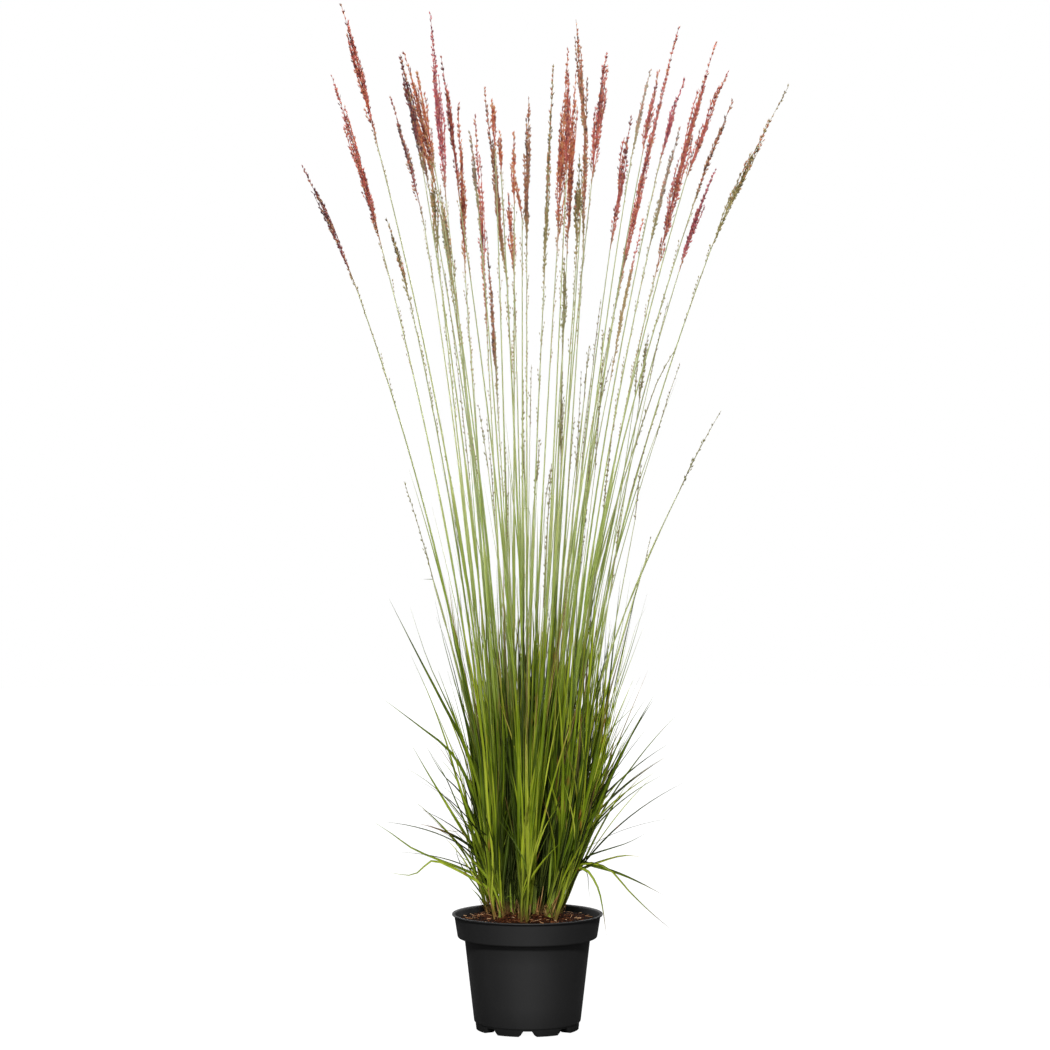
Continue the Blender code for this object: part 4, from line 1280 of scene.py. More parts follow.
def add_wisp(bundle, shoot, rng):
    """A dead, curled scrap of leaf at the foot of a shoot."""
    out = random_heading(rng)[:2]
    length = rng.uniform(*WISP_LENGTHS)
    share = np.linspace(0.0, 1.0, 9)
    curl = rng.uniform(2.0, 6.0)
    away = length * (0.25 * np.sin(share * curl) + 0.6 * share)
    path = np.empty((9, 3))
    path[:, :2] = np.array(shoot.root)[:2] + out * (0.002 + away)[:, None]
    path[:, 0] = CLUMP_X + (path[:, 0] - CLUMP_X) * NARROW_LEFT[0]
    path[:, 2] = shoot.root.z + length * rng.uniform(0.3, 1.0) * np.sin(share * rng.uniform(1.6, 3.0))
    side = np.array((-out[1], out[0], 0.3))
    dry = 2.0 if rng.random() < 0.65 else 0.0
    width = rng.uniform(*WISP_WIDTHS) * MM
    add_leaf(bundle, path, width, side, rng.uniform(0.1, 0.6), dry, rng.normal(0.0, 1.5))


def culm_path(root, foot, tip, ground):
    """A stem's line: drawn in with the foliage at the ground, free of it higher up."""
    path = np.array(stem_path(root, foot, tip, CULM_LEVELS))
    return drawn_in(path, 1.0 - smooth_step((path[:, 2] - ground) / FREE_HEIGHT))


def add_culm(bundle, culm, rng):
    """A flowering stem with its swollen joints, the sheath above each, a flag leaf and its panicle."""
    sunk = culm.root - TOP * (ROOT_SINK + ROOT_RISE)
    path = culm_path(sunk, culm.foot, culm.tip, culm.root.z)
    share = np.linspace(0.0, 1.0, CULM_LEVELS)
    radii = np.interp(share, CULM_SHARES, CULM_RADII) * MM
    stout = rng.uniform(*(STOUT_WALLS if rng.random() < STOUT_SHARE else SLIM_WALLS))
    tone = rng.uniform(0.3, 0.9)
    add_tube(bundle, path, radii, 6, tone, share)
    rise = path[:, 2] - culm.root.z
    for joint in JOINT_HEIGHTS:
        joint *= rng.uniform(0.85, 1.15)
        if joint + 0.05 > rise.max():
            continue
        reach = min(rng.uniform(*JOINT_REACHES), rise.max() - joint)
        span = joint + reach * JOINT_SPAN
        wall = np.interp(span, rise, radii) + JOINT_WALLS * stout * MM
        add_tube(bundle, read_path(path, rise, span), wall, 6, tone + JOINT_TONES, span / rise.max())
    if rng.random() < FLAG_SHARE:
        add_flag(bundle, path, rise, rng)
    if culm.row in PANICLES:
        add_plume(bundle, culm.plume_start, culm.tip, culm.row.half_width * MM, rng, 0.4, 0.8, 1.8)


def add_flag(bundle, stem, rise, rng):
    """A thin leaf that stands close beside its stem."""
    start = rng.uniform(*FLAG_STARTS)
    levels = np.linspace(start, start + rng.uniform(*FLAG_LENGTHS), 10)
    path = read_path(stem, rise, levels)
    out = random_heading(rng)
    share = np.linspace(0.0, 1.0, 10)
    path += out * (rng.uniform(*FLAG_DRIFTS) * share ** 1.4)[:, None]
    side = np.array((-out[1], out[0], 0.0))
    width = rng.uniform(*FLAG_WIDTHS) * MM
    add_leaf(bundle, path, width, side, rng.uniform(0.2, 0.9), 0.0, rng.normal(0.0, 0.6))


def add_spray(bundle, row, clump, crown, rng):
    """A late, slender stem with a thin open spray at its top."""
    place = clump.crowns[crown]
    root = Vector((place.x, place.y, mound_height(place.x, place.y) - ROOT_SINK))
    depth = rng.uniform(-0.08, 0.01)
    tip = seen(row.tip_x, row.tip_z, depth)
    foot = seen(row.foot_x, row.foot_z, depth * 0.8)
    path = culm_path(root, foot, tip, root.z)
    share = np.linspace(0.0, 1.0, CULM_LEVELS)
    radii = np.interp(share, SPRAY_SHARES, SPRAY_RADII) * MM
    add_tube(bundle, path, radii, 5, rng.uniform(0.4, 0.9), share)
    add_plume(bundle, foot, tip, row.half_width * MM, rng, 0.4, 0.9, row.spacing)


def make_tuft(order, clump, surfaces):
    """One tuft's leaves, and its culms as a second piece."""
    rng = np.random.default_rng(SEED + order)
    leaves = Bundle()
    shoots = crown_shoots(clump, order, rng)
    for shoot in shoots:
        add_sheath(leaves, shoot, rng)
        for _ in range(LEAVES_PER_SHOOT):
            add_young_leaf(leaves, shoot, rng)
        for _ in range(rng.integers(0, 3)):
            add_short_leaf(leaves, shoot, rng)
        for _ in range(rng.integers(0, 4)):
            add_wisp(leaves, shoot, rng)
    for leaf in clump.leaves:
        if leaf.crown == order:
            add_planned_leaf(leaves, leaf, shoots, rng)
    for row in THIN_STRAYS:
        start_x, _ = row[1]
        if clump.nearest(start_x * MM * LEAF_AIM, 0.0) == order:
            add_thin_stray(leaves, row, shoots, rng)
    name = f"tuft_{order + 1:02d}"
    foliage = leaves.piece(name + "_leaves", surfaces["leaf"])
    culms = Bundle()
    for culm in clump.culms:
        if culm.crown == order:
            add_culm(culms, culm, rng)
    for row in SPRAYS:
        if clump.nearest(row.foot_x * MM * SPRAY_AIM, 0.0) == order:
            add_spray(culms, row, clump, order, rng)
    stems = culms.piece(name + "_culms", surfaces["culm"])
    for piece in (foliage, stems):
        finish_piece(piece, name)


def finish_piece(piece, node):
    """Hangs a piece from the root body and hides the model's node that it stands for."""
    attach(piece, "root")
    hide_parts(node)


def make_plume(order, culm, surfaces):
    """One plume in its own colours."""
    rng = np.random.default_rng(SEED + PLUME_SEED + order)
    plume = Bundle()
    row = culm.row
    tone = rng.uniform(0.35, 0.65)
    add_plume(plume, culm.plume_start, culm.tip, row.half_width * MM, rng, tone)
    if rng.random() < TAIL_SHARE:
        add_tail(plume, culm, rng, tone)
    name = f"plume_{order + 1:02d}"
    slender = row.colour == "red" and row.half_width <= SLENDER_WIDTH
    piece = plume.piece(name + "_spikelets", surfaces["slender" if slender else row.colour])
    finish_piece(piece, name)


# Peat

def fine_peat_height(x, y):
    """The model's bumpy top with finer lumps on it."""
    spot = Vector((x, y, 0.0))
    bump = noise.noise(spot * 60.0) + 0.6 * noise.noise(Vector((x, y, 0.1)) * 130.0)
    fine = 0.9 * noise.noise(spot * 320.0) + 0.6 * noise.noise(spot * 700.0)
    heap = 1.0 - (math.hypot(x - CLUMP_X, y) / HEAP_RADIUS) ** 2
    return mound_height(x, y) + HEAP_HEIGHT * max(heap, 0.0) + PEAT_BUMP * bump + PEAT_GRAIN * fine


def make_peat(surface):
    """Peat filling with a lumpy top, its crumbs, bits of bark and straw fibres."""
    rng = np.random.default_rng(SEED + PEAT_SEED)
    bundle = Bundle()
    wall = BAND_FOOT_RADIUS - WALL
    ledge = BAND_FOOT_HEIGHT + WALL + GAP
    rise = (PEAT_LEVEL - BAND_FOOT_HEIGHT) / (POT_HEIGHT - LIP_HEIGHT - BAND_FOOT_HEIGHT)
    top_radius = wall + (BAND_TOP_RADIUS - BAND_FOOT_RADIUS) * rise - 2.0 * GAP
    sides = ((BODY_FOOT_RADIUS - WALL - GAP, FLOOR_TOP + GAP), (BODY_TOP_RADIUS - WALL - GAP, ledge),
             (wall - GAP, ledge))
    spokes = circle(PEAT_SPOKES)
    rings = [spokes * radius + TOP_ROW * height for radius, height in sides]
    for level in range(PEAT_CIRCLES):
        ring = spokes * (top_radius * (1.0 - level / PEAT_CIRCLES))
        ring[:, 2] = [fine_peat_height(x, y) for x, y, _ in ring]
        rings.append(ring)
    points = np.concatenate(rings)
    spread = points[:, 0] / BAND_TOP_RADIUS * 0.5 + 0.5
    bundle.add(points, loft_faces(len(rings), PEAT_SPOKES, False), 0.35, 0.0, spread, 0.0, 0,
               points[:, 1] / BAND_TOP_RADIUS * 0.5 + 0.5)
    add_crumbs(bundle, top_radius, rng)
    add_fibres(bundle, top_radius, rng)
    piece = bundle.piece("peat_filling", surface, 60.0)
    finish_piece(piece, "peat")


def spot_on_peat(top_radius, rng, gather):
    """A place on the peat; a higher gather brings it closer to the clump."""
    radius = top_radius * rng.uniform(0.0, 0.97) ** gather
    x, y, _ = random_heading(rng) * radius
    return np.array((x, y, fine_peat_height(x, y)))


def add_crumbs(bundle, top_radius, rng):
    """Crumbs and bark: squashed eight-cornered lumps half sunk in the peat."""
    square = ((-1.0, -1.0), (1.0, -1.0), (1.0, 1.0), (-1.0, 1.0))
    corners = np.array([(x, y, z) for z in (-1.0, 1.0) for x, y in square])
    faces = np.array(((3, 2, 1, 0), (4, 5, 6, 7), (0, 1, 5, 4), (1, 2, 6, 5), (2, 3, 7, 6), (3, 0, 4, 7)))
    for _ in range(CRUMB_COUNT):
        size = rng.uniform(*CRUMB_SIZES) * MM * rng.uniform(CRUMB_LEAST, CRUMB_MOST)
        turn = rng.uniform(0.0, math.tau)
        lump = corners * size * rng.uniform(0.55, 1.0, (8, 3))
        spun = lump.copy()
        spun[:, 0] = lump[:, 0] * math.cos(turn) - lump[:, 1] * math.sin(turn)
        spun[:, 1] = lump[:, 0] * math.sin(turn) + lump[:, 1] * math.cos(turn)
        spun += spot_on_peat(top_radius, rng, 0.55)
        bundle.add(spun, [faces], rng.uniform(0.0, 1.0) ** 1.4, 0.5, 0.5, 0.0, 1, rng.uniform(0.0, 1.0))


def add_fibres(bundle, top_radius, rng):
    """Straw-coloured bits of old leaf and root that lie round the clump."""
    for _ in range(FIBRE_COUNT):
        middle = spot_on_peat(top_radius, rng, 0.8)
        turn = rng.uniform(0.0, math.tau)
        length = rng.uniform(*FIBRE_LENGTHS) * MM
        ahead = np.array((math.cos(turn), math.sin(turn), rng.uniform(0.0, 0.25)))
        bend = np.array((-math.sin(turn), math.cos(turn), 0.3)) * rng.uniform(-0.25, 0.25) * length
        share = np.linspace(-0.5, 0.5, 6)[:, None]
        path = middle + ahead * length * share + bend * (0.25 - share ** 2) + TOP_ROW * 0.6 * MM
        path[:, 2] = np.maximum(path[:, 2], PEAT_LEVEL - 1.0 * MM)
        add_tube(bundle, path, rng.uniform(*FIBRE_RADII) * MM, 4, rng.uniform(0.3, 1.0), 0.5, 1.0, 2)


# Pot

def pot_outline():
    """Radius and height of the pot's section, with its edges rounded."""
    band_inner = BAND_FOOT_RADIUS - WALL
    ledge = BAND_FOOT_HEIGHT + WALL
    floor_under = FLOOR_TOP - WALL
    lip_foot = POT_HEIGHT - LIP_HEIGHT
    outline = [
        (BOSS_RADIUS, 0.0),
        (BOSS_RADIUS, floor_under),
        (FOOT_RADIUS - RING_DEPTH, floor_under),
        (FOOT_RADIUS - RING_DEPTH, 0.0),
        (FOOT_RADIUS - 0.4 * MM, 0.0),
        (FOOT_RADIUS, 0.4 * MM),
        (FOOT_RADIUS + 0.3 * MM, FOOT_HEIGHT - 0.8 * MM),
        (FOOT_RADIUS + 0.9 * MM, FOOT_HEIGHT),
        (BODY_FOOT_RADIUS - 0.5 * MM, FLOOR_TOP - 0.9 * MM),
        (BODY_FOOT_RADIUS, FLOOR_TOP + 0.4 * MM),
    ]
    outline += straight_side((BODY_FOOT_RADIUS, FLOOR_TOP), (BODY_TOP_RADIUS, BAND_FOOT_HEIGHT),
                             (0.25, 0.5, 0.75, 0.985))
    outline += arc((BODY_TOP_RADIUS + BODY_CORNER, BAND_FOOT_HEIGHT - BODY_CORNER), BODY_CORNER,
                   180.0, 90.0)
    outline += arc((BAND_FOOT_RADIUS - BAND_CORNER, BAND_FOOT_HEIGHT + BAND_CORNER), BAND_CORNER,
                   -90.0, 0.0)
    outline += straight_side((BAND_FOOT_RADIUS, BAND_FOOT_HEIGHT + BAND_CORNER),
                             (BAND_TOP_RADIUS, lip_foot), (0.33, 0.66, 0.97))
    outline += arc((LIP_RADIUS - BODY_CORNER, lip_foot + 1.6 * MM), BODY_CORNER, -80.0, 100.0)
    outline += [
        (BAND_TOP_RADIUS, POT_HEIGHT - 0.3 * MM),
        (BAND_TOP_RADIUS - 1.2 * MM, POT_HEIGHT - 0.9 * MM),
        (BAND_TOP_RADIUS - WALL, lip_foot - 0.5 * MM),
        (band_inner, ledge),
        (BODY_TOP_RADIUS - WALL, ledge),
        (BODY_FOOT_RADIUS - WALL, FLOOR_TOP),
    ]
    return outline


def straight_side(foot, top, shares):
    """Points on a straight side of the section, at shares of its height."""
    wide = top[0] - foot[0]
    high = top[1] - foot[1]
    return [(foot[0] + wide * share, foot[1] + high * share) for share in shares]


def arc(middle, radius, start, end):
    """Points of an arc in the section, between two angles in degrees."""
    points = []
    for step in range(ARC_STEPS + 1):
        angle = math.radians(start + (end - start) * step / ARC_STEPS)
        points.append((middle[0] + radius * math.cos(angle), middle[1] + radius * math.sin(angle)))
    return points


def notch_points(turn):
    """Corners of the wedge that cuts one foot notch."""
    out = np.array((math.cos(turn), math.sin(turn), 0.0))
    side = np.array((-out[1], out[0], 0.0))
    inner = FOOT_RADIUS - RING_DEPTH - WALL
    outer = FOOT_RADIUS + 3.0 * WALL
    points = []
    for height, width in ((-2.0 * MM, NOTCH_FOOT_WIDTH), (NOTCH_HEIGHT, NOTCH_TOP_WIDTH)):
        for reach, half in ((inner, -NOTCH_INNER_HALF), (outer, -NOTCH_OUTER_HALF),
                            (outer, NOTCH_OUTER_HALF), (inner, NOTCH_INNER_HALF)):
            points.append(out * reach + side * (half * width) + TOP_ROW * height)
    return np.array(points)


def make_pot(surface):
    """The pot, turned finely from the model's section, with its notches and drain holes cut."""
    spokes = circle(POT_SPOKES)
    outline = pot_outline()
    rings = np.concatenate([spokes * radius + TOP_ROW * height for radius, height in outline])
    pot = Bundle()
    spread = np.tile(there_and_back(POT_SPOKES), len(outline))
    pot.add(rings, loft_faces(len(outline), POT_SPOKES, False), 0.5, rings[:, 2] / POT_HEIGHT, spread, 0.0)
    piece = pot.piece("pot_shell", surface, 50.0)
    cutter = Bundle()
    for step in range(NOTCH_COUNT):
        points = notch_points(step * math.tau / NOTCH_COUNT - math.pi / 2.0)
        cutter.add(points, loft_faces(2, 4, False), 0.5, 0.5, 0.5, 0.0)
    hole = circle(HOLE_SPOKES) * DRAIN_RADIUS
    for step in range(DRAIN_COUNT):
        turn = (step + 0.5) * math.tau / DRAIN_COUNT
        middle = np.array((math.cos(turn), math.sin(turn), 0.0)) * DRAIN_CIRCLE
        low = middle + hole + TOP_ROW * (FLOOR_TOP - 2.0 * WALL)
        high = middle + hole + TOP_ROW * (FLOOR_TOP + WALL)
        points = np.concatenate([low, high])
        cutter.add(points, loft_faces(2, HOLE_SPOKES, False), 0.5, 0.5, 0.5, 0.0)
    tool = cutter.piece("pot_cutter", surface)
    modifier = piece.modifiers.new("cut", "BOOLEAN")
    modifier.operation = "DIFFERENCE"
    modifier.object = tool
    evaluated = piece.evaluated_get(bpy.context.evaluated_depsgraph_get())
    piece.data = bpy.data.meshes.new_from_object(evaluated)
    piece.modifiers.clear()
    bpy.data.objects.remove(tool, do_unlink=True)
    finish_piece(piece, "pot")


# Materials

class Surface:
    """A Principled material and short ways to add what feeds it."""

    def __init__(self, name, roughness, specular=0.5):
        self.material = bpy.data.materials.new(name)
        self.material.use_nodes = True
        self.tree = self.material.node_tree
        self.shader = self.tree.nodes["Principled BSDF"]
        self.shader.inputs["Roughness"].default_value = roughness
        self.shader.inputs["Metallic"].default_value = 0.0
        self.shader.inputs["Specular IOR Level"].default_value = specular

    def node(self, kind, inputs=(), **settings):
        made = self.tree.nodes.new(kind)
        for name, value in settings.items():
            setattr(made, name, value)
        for key, value in dict(inputs).items():
            if isinstance(value, bpy.types.NodeSocket):
                self.tree.links.new(value, made.inputs[key])
            else:
                made.inputs[key].default_value = value
        return made

    def attribute(self, name):
        return self.node("ShaderNodeAttribute", attribute_name=name).outputs["Fac"]

    def place(self, stretch):
        """Object coordinates, each axis stretched."""
        inputs = {0: self.node("ShaderNodeTexCoord").outputs["Object"], 1: stretch}
        return self.node("ShaderNodeVectorMath", inputs, operation="MULTIPLY").outputs[0]

    def noise(self, scale, detail=3.0, stretch=(1.0, 1.0, 1.0)):
        inputs = {"Vector": self.place(stretch), "Scale": scale, "Detail": detail, "Roughness": 0.6}
        return self.node("ShaderNodeTexNoise", inputs).outputs["Fac"]

    def math(self, operation, first, second=0.0, third=0.0):
        inputs = {0: first, 1: second, 2: third}
        return self.node("ShaderNodeMath", inputs, operation=operation).outputs[0]

    def times(self, first, second):
        return self.math("MULTIPLY", first, second)

    def scaled(self, value, factor, offset):
        """The value times a factor, with an offset added."""
        return self.math("MULTIPLY_ADD", value, factor, offset)

    def clamp(self, value, low, high):
        """The value spread from low..high to 0..1."""
        inputs = {"Value": value, "From Min": low, "From Max": high}
        return self.node("ShaderNodeMapRange", inputs).outputs[0]

    def ramp(self, value, stops):
        node = self.node("ShaderNodeValToRGB", {"Fac": value})
        elements = node.color_ramp.elements
        while len(elements) < len(stops):
            elements.new(0.5)
        for element, (place, colour) in zip(elements, stops):
            element.position = place
            element.color = (*colour, 1.0)
        return node.outputs["Color"]

    def mix(self, share, first, second):
        node = self.node("ShaderNodeMix", data_type="RGBA")
        for index, value in ((0, share), (6, first), (7, second)):
            if isinstance(value, bpy.types.NodeSocket):
                self.tree.links.new(value, node.inputs[index])
            else:
                node.inputs[index].default_value = (*value, 1.0) if index else value
        return node.outputs[2]

    def finish(self, colour, height, distance, rough=None):
        """Connects the colour, the fine relief and, where it varies, the roughness."""
        self.tree.links.new(colour, self.shader.inputs["Base Color"])
        bump = self.node("ShaderNodeBump", {"Height": height, "Distance": distance, "Strength": 1.0})
        self.tree.links.new(bump.outputs["Normal"], self.shader.inputs["Normal"])
        if rough:
            self.tree.links.new(rough, self.shader.inputs["Roughness"])
        return self.material


def leaf_surface():
    """Leaf: ribbed, from dark to yellow green, pale in its sheath and straw or rust where it withers;
    painted shade darkens its edges and the sides of its sheaths, and its tone carries the painted shade of
    the clump's inside.
    """
    made = Surface("grass_leaf", 0.42, 0.15)
    run = made.attribute("run")
    across = made.attribute("across")
    mottle = made.noise(60.0, 3.0, (1.0, 1.0, 0.12))
    # The tone attribute carries the painted shade of the clump's inside as well as each leaf's own tone.
    own_tone = made.attribute("tone")
    tone = made.scaled(mottle, 0.7, made.scaled(own_tone, 0.95, -0.36))
    green = made.ramp(tone, ((0.0, (0.004, 0.007, 0.0005)), (0.14, (0.020, 0.034, 0.001)),
                             (0.32, (0.062, 0.100, 0.003)), (0.55, (0.165, 0.235, 0.007)),
                             (0.75, (0.330, 0.400, 0.020)), (0.95, (0.500, 0.560, 0.060))))
    # The pale foot colour is held back where the tone is low, also where that comes from painted shade.
    tone_clear_of_painted_shade = made.clamp(own_tone, -0.15, 0.35)
    fresh = made.times(made.clamp(run, 0.22, 0.0), made.times(tone_clear_of_painted_shade, 0.6))
    young = made.mix(fresh, green, (0.400, 0.440, 0.050))
    rib = made.math("SINE", made.times(across, math.tau * 7.0))
    shade = made.mix(made.scaled(rib, 0.10, 0.10), young, (0.030, 0.055, 0.003))
    aside = made.math("ABSOLUTE", made.math("SUBTRACT", across, 0.5))
    # Painted shade: leaf edges and the left and right sides of sheaths are darkened, standing in for the
    # shade between neighbouring leaves.
    edge_painted_shade = made.mix(made.times(made.clamp(aside, 0.34, 0.48), 0.45), shade, (0.022, 0.036, 0.001))
    veined = made.mix(made.times(made.clamp(aside, 0.07, 0.02), 0.35), edge_painted_shade, (0.350, 0.430, 0.110))
    dry = made.attribute("dry")
    patchy = made.clamp(made.times(dry, made.math("ADD", mottle, 0.55)), 0.25, 0.75)
    withered = made.ramp(made.noise(90.0, 2.0, (1.0, 1.0, 0.2)), (
        (0.3, (0.120, 0.045, 0.018)), (0.5, (0.330, 0.170, 0.060)), (0.7, (0.520, 0.370, 0.160))))
    blotch = made.clamp(made.noise(48.0, 1.0, (1.0, 1.0, 0.25)), 0.70, 0.76)
    rusty = made.mix(made.times(blotch, 0.75), veined, (0.230, 0.075, 0.020))
    height = made.node("ShaderNodeSeparateXYZ", {0: made.place((1.0, 1.0, 1.0))}).outputs["Z"]
    uneven = made.scaled(mottle, -STAIN_HEIGHT, height)
    earth = made.clamp(uneven, STAIN_FOOT + STAIN_HEIGHT, STAIN_FOOT)
    stained = made.mix(made.times(earth, 0.8), rusty, (0.130, 0.060, 0.022))
    colour = made.mix(patchy, stained, withered)
    return made.finish(colour, rib, 0.06 * MM, made.scaled(mottle, 0.3, 0.28))


def culm_surface():
    """Flowering stem: light olive, darker at its joints, with fine lengthwise lines."""
    made = Surface("grass_culm", 0.45, 0.3)
    run = made.attribute("run")
    streak = made.noise(220.0, 2.0, (1.0, 1.0, 0.03))
    tone = made.scaled(streak, 0.35, made.math("SUBTRACT", made.attribute("tone"), 0.17))
    green = made.ramp(tone, ((0.0, (0.085, 0.102, 0.022)), (0.35, (0.180, 0.240, 0.030)),
                             (0.7, (0.260, 0.330, 0.055)), (1.0, (0.390, 0.430, 0.120))))
    upper = made.mix(made.clamp(run, 0.35, 1.0), green, (0.300, 0.320, 0.150))
    shaded = made.times(made.clamp(run, 0.66, 0.42), 0.75)
    lower = made.mix(shaded, upper, (0.150, 0.215, 0.010))
    tinge = made.ramp(made.noise(400.0, 1.0), ((0.35, (0.160, 0.100, 0.060)), (0.5, (0.205, 0.170, 0.080)),
                                              (0.65, (0.280, 0.280, 0.115))))
    return made.finish(made.mix(made.attribute("dry"), lower, tinge), streak, 0.05 * MM)


PLUME_STOPS = {
    "red": ((0.0, (0.110, 0.013, 0.020)), (0.25, (0.290, 0.036, 0.032)), (0.5, (0.480, 0.088, 0.052)),
            (0.7, (0.540, 0.160, 0.075)), (0.85, (0.440, 0.230, 0.100)), (1.0, (0.500, 0.120, 0.130))),
    "pink": ((0.0, (0.140, 0.015, 0.038)), (0.3, (0.340, 0.042, 0.070)), (0.55, (0.500, 0.082, 0.090)),
             (0.8, (0.500, 0.180, 0.110)), (1.0, (0.500, 0.125, 0.180))),
    "rust": ((0.0, (0.150, 0.020, 0.014)), (0.3, (0.360, 0.056, 0.026)), (0.55, (0.520, 0.120, 0.045)),
             (0.75, (0.540, 0.210, 0.085)), (1.0, (0.470, 0.240, 0.110))),
    "brown": ((0.0, (0.070, 0.026, 0.018)), (0.3, (0.200, 0.064, 0.032)), (0.55, (0.340, 0.135, 0.056)),
              (0.75, (0.400, 0.230, 0.090)), (1.0, (0.400, 0.110, 0.070))),
    "purple": ((0.0, (0.055, 0.013, 0.022)), (0.3, (0.160, 0.028, 0.038)), (0.6, (0.310, 0.060, 0.050)),
               (0.8, (0.400, 0.150, 0.070)), (1.0, (0.330, 0.210, 0.100))),
    "olive": ((0.0, (0.090, 0.060, 0.024)), (0.3, (0.210, 0.155, 0.050)), (0.6, (0.330, 0.265, 0.085)),
              (0.8, (0.400, 0.240, 0.105)), (1.0, (0.420, 0.150, 0.090))),
    "grey": ((0.0, (0.130, 0.080, 0.070)), (0.35, (0.250, 0.180, 0.130)), (0.7, (0.370, 0.310, 0.190)),
             (1.0, (0.460, 0.220, 0.160))),
}
FOOT_TOPS = {"red": 0.34, "pink": 0.36, "rust": 0.36, "brown": 0.46, "purple": 0.38, "olive": 0.60,
             "grey": 0.60, "slender": 0.95}
FOOT_COLOUR = (0.270, 0.240, 0.095)


def plume_surface(name, stops):
    """Plume husks: each husk its own tone, greener towards the foot of the plume."""
    made = Surface("plume_" + name, 0.62)
    speck = made.noise(700.0, 2.0)
    tone = made.scaled(speck, 0.5, made.math("SUBTRACT", made.attribute("tone"), 0.25))
    husk = made.ramp(tone, stops)
    base = made.times(made.clamp(made.attribute("across"), 0.5, 0.0), 0.35)
    lit = made.mix(base, husk, (0.330, 0.250, 0.120))
    run = made.scaled(speck, 0.35, made.attribute("run"))
    low = made.clamp(run, FOOT_TOPS[name], FOOT_TOPS[name] - 0.20)
    colour = made.mix(made.times(low, 0.8), lit, FOOT_COLOUR)
    return made.finish(colour, speck, 0.08 * MM)


def peat_surface():
    """Damp peat: dark brown crumbs with redder and lighter grains, and straw where it is dry; painted
    shade darkens it towards the pot wall, under the rim.
    """
    made = Surface("damp_peat", 0.95, 0.05)
    grain = made.noise(420.0, 5.0)
    clump = made.noise(90.0, 3.0)
    crumbs = made.scaled(made.attribute("tone"), 0.45, made.scaled(clump, 0.8, -0.78))
    tone = made.scaled(grain, 1.12, crumbs)
    # Painted shade: the peat is darker towards the pot wall, in place of the shadow of the rim.
    reach = made.node("ShaderNodeVectorMath", {0: made.place((1.0, 1.0, 0.0))}, operation="LENGTH")
    rim_painted_shade = made.clamp(reach.outputs["Value"], 0.060, 0.100)
    tone = made.scaled(rim_painted_shade, -0.22, tone)
    brown = made.ramp(tone, ((0.15, (0.004, 0.002, 0.001)), (0.38, (0.034, 0.010, 0.004)),
                             (0.60, (0.170, 0.055, 0.018)), (0.82, (0.430, 0.180, 0.065)),
                             (1.0, (0.600, 0.340, 0.170))))
    straw = made.ramp(made.attribute("tone"), ((0.3, (0.090, 0.036, 0.015)), (0.7, (0.330, 0.170, 0.080)),
                                               (1.0, (0.560, 0.380, 0.220))))
    return made.finish(made.mix(made.attribute("dry"), brown, straw), grain, 0.8 * MM)


def plastic_surface():
    """Black moulded plastic: satin, with a fine grain and faint scuffs down its side."""
    made = Surface("black_plastic", 0.68, 0.55)
    grain = made.noise(900.0, 2.0)
    scuff = made.noise(26.0, 6.0, (1.0, 1.0, 0.35))
    colour = made.ramp(scuff, ((0.3, (0.0034, 0.0034, 0.0036)), (0.6, (0.0042, 0.0042, 0.0044)),
                               (0.8, (0.0060, 0.0060, 0.0064))))
    return made.finish(colour, grain, 0.04 * MM, made.scaled(scuff, 0.14, 0.61))


# Stage, light and camera

def add_floor():
    """A plain pale floor."""
    mesh = bpy.data.meshes.new("floor")
    mesh.from_pydata(circle(FLOOR_SPOKES) * FLOOR_RADIUS, [], [tuple(range(FLOOR_SPOKES))])
    floor = new_object("floor", mesh)
    made = Surface("pale_floor", 0.9)
    made.shader.inputs["Base Color"].default_value = (FLOOR_TONE, FLOOR_TONE, FLOOR_TONE, 1.0)
    made.shader.inputs["Emission Color"].default_value = WHITE
    shown = made.tree.nodes.new("ShaderNodeLightPath").outputs["Is Camera Ray"]
    made.tree.links.new(made.times(shown, FLOOR_GLOW), made.shader.inputs["Emission Strength"])
    mesh.materials.append(made.material)


def add_softbox(name, place, aim, size, power, spread=180.0):
    """A square area light turned to a point; a small spread keeps its light in a narrow beam."""
    light = bpy.data.lights.new(name, "AREA")
    light.shape = "SQUARE"
    light.size = size
    light.energy = power
    light.spread = math.radians(spread)
    lamp = new_object(name, light)
    lamp.location = place
    lamp.rotation_euler = (Vector(aim) - Vector(place)).to_track_quat("-Z", "Y").to_euler()


def add_sun(name, source, strength, spread):
    """A broad light from one direction."""
    light = bpy.data.lights.new(name, "SUN")
    light.energy = strength
    light.angle = math.radians(spread)
    lamp = new_object(name, light)
    lamp.rotation_euler = Vector(source).to_track_quat("Z", "Y").to_euler()


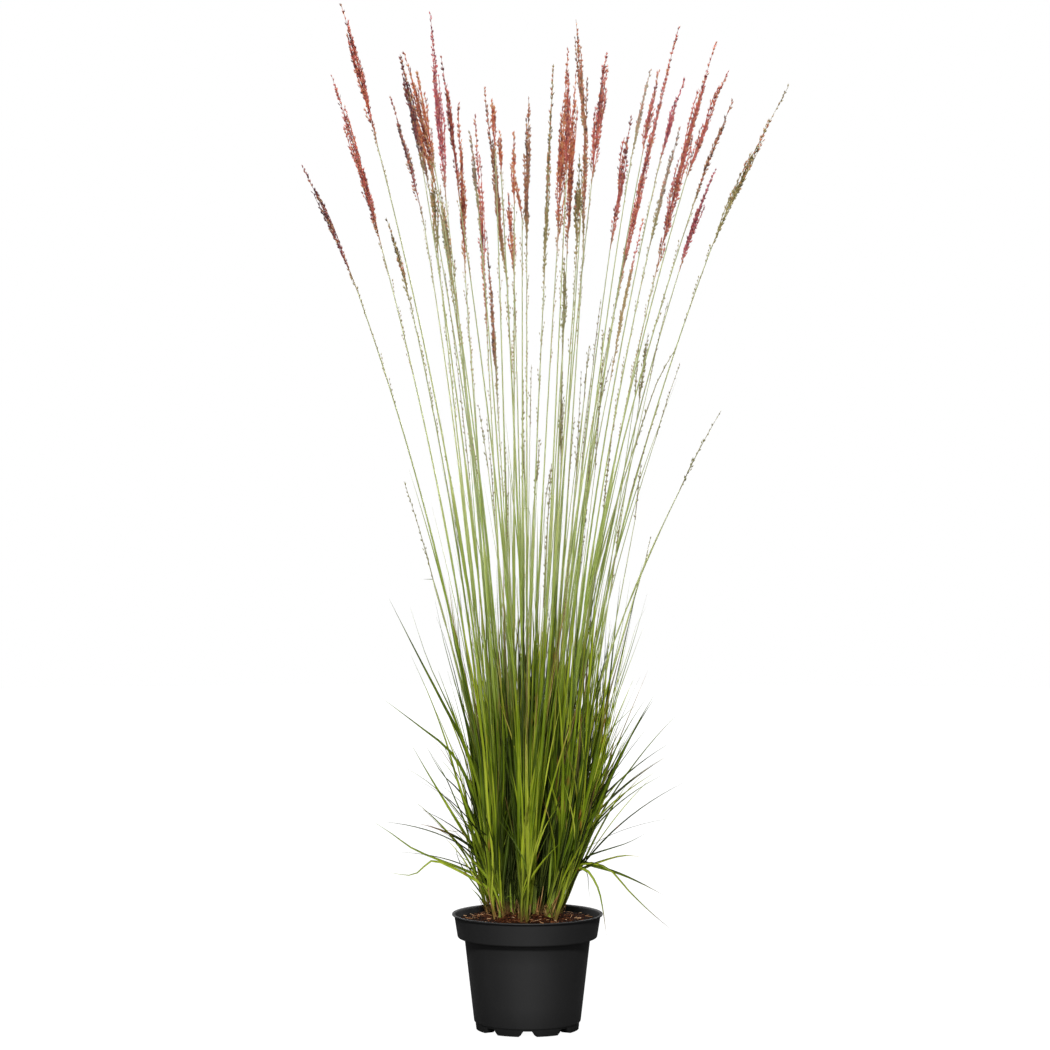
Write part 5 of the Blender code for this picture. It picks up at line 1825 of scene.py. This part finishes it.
def add_studio():
    """Pale surroundings, a key light from the front and above, a softbox just above the eye, a narrow
    beam from each side, and two back lights.
    """
    world = bpy.data.worlds.new("studio")
    world.use_nodes = True
    bpy.context.scene.world = world
    tree = world.node_tree
    seen_backdrop = tree.nodes.new("ShaderNodeLightPath").outputs["Is Camera Ray"]
    strength = tree.nodes.new("ShaderNodeMapRange")
    strength.inputs["To Min"].default_value = FILL_LIGHT
    strength.inputs["To Max"].default_value = BACKDROP_LIGHT
    tree.links.new(seen_backdrop, strength.inputs["Value"])
    tree.nodes["Background"].inputs["Color"].default_value = WHITE
    tree.links.new(strength.outputs[0], tree.nodes["Background"].inputs["Strength"])
    add_sun("key", KEY_FROM, KEY_LIGHT, KEY_SPREAD)
    for order, source in enumerate(BACK_FROM):
        add_sun(f"back_{order + 1}", source, BACK_LIGHT, BACK_SPREAD)
    add_softbox("front", FRONT_FROM, FRONT_AIM, FRONT_SIZE, FRONT_POWER)
    x, y, z = SIDE_FROM
    add_softbox("left", (-x, y, z), SIDE_AIM, SIDE_SIZE, SIDE_POWER, SIDE_SPREAD)
    add_softbox("right", (x, y, z), SIDE_AIM, SIDE_SIZE, SIDE_POWER, SIDE_SPREAD)
    bpy.context.scene.view_settings.view_transform = "Standard"


def add_camera():
    """The front view, level with the middle of the plant."""
    data = bpy.data.cameras.new("camera")
    data.sensor_width = SENSOR_WIDTH
    data.lens = LENS
    camera = new_object("camera", data)
    camera.location = EYE
    camera.rotation_euler = (math.pi / 2.0, 0.0, 0.0)
    bpy.context.scene.camera = camera


def main():
    add_camera()
    add_floor()
    add_studio()
    surfaces = {name: plume_surface(name, stops) for name, stops in PLUME_STOPS.items()}
    surfaces["slender"] = plume_surface("slender", PLUME_STOPS["red"])
    surfaces["leaf"] = leaf_surface()
    surfaces["culm"] = culm_surface()
    clump = plan_clump()
    make_pot(plastic_surface())
    make_peat(peat_surface())
    for order in range(len(clump.crowns)):
        make_tuft(order, clump, surfaces)
    for order, culm in enumerate(clump.culms[:len(PLUMES)]):
        make_plume(order, culm, surfaces)


main()
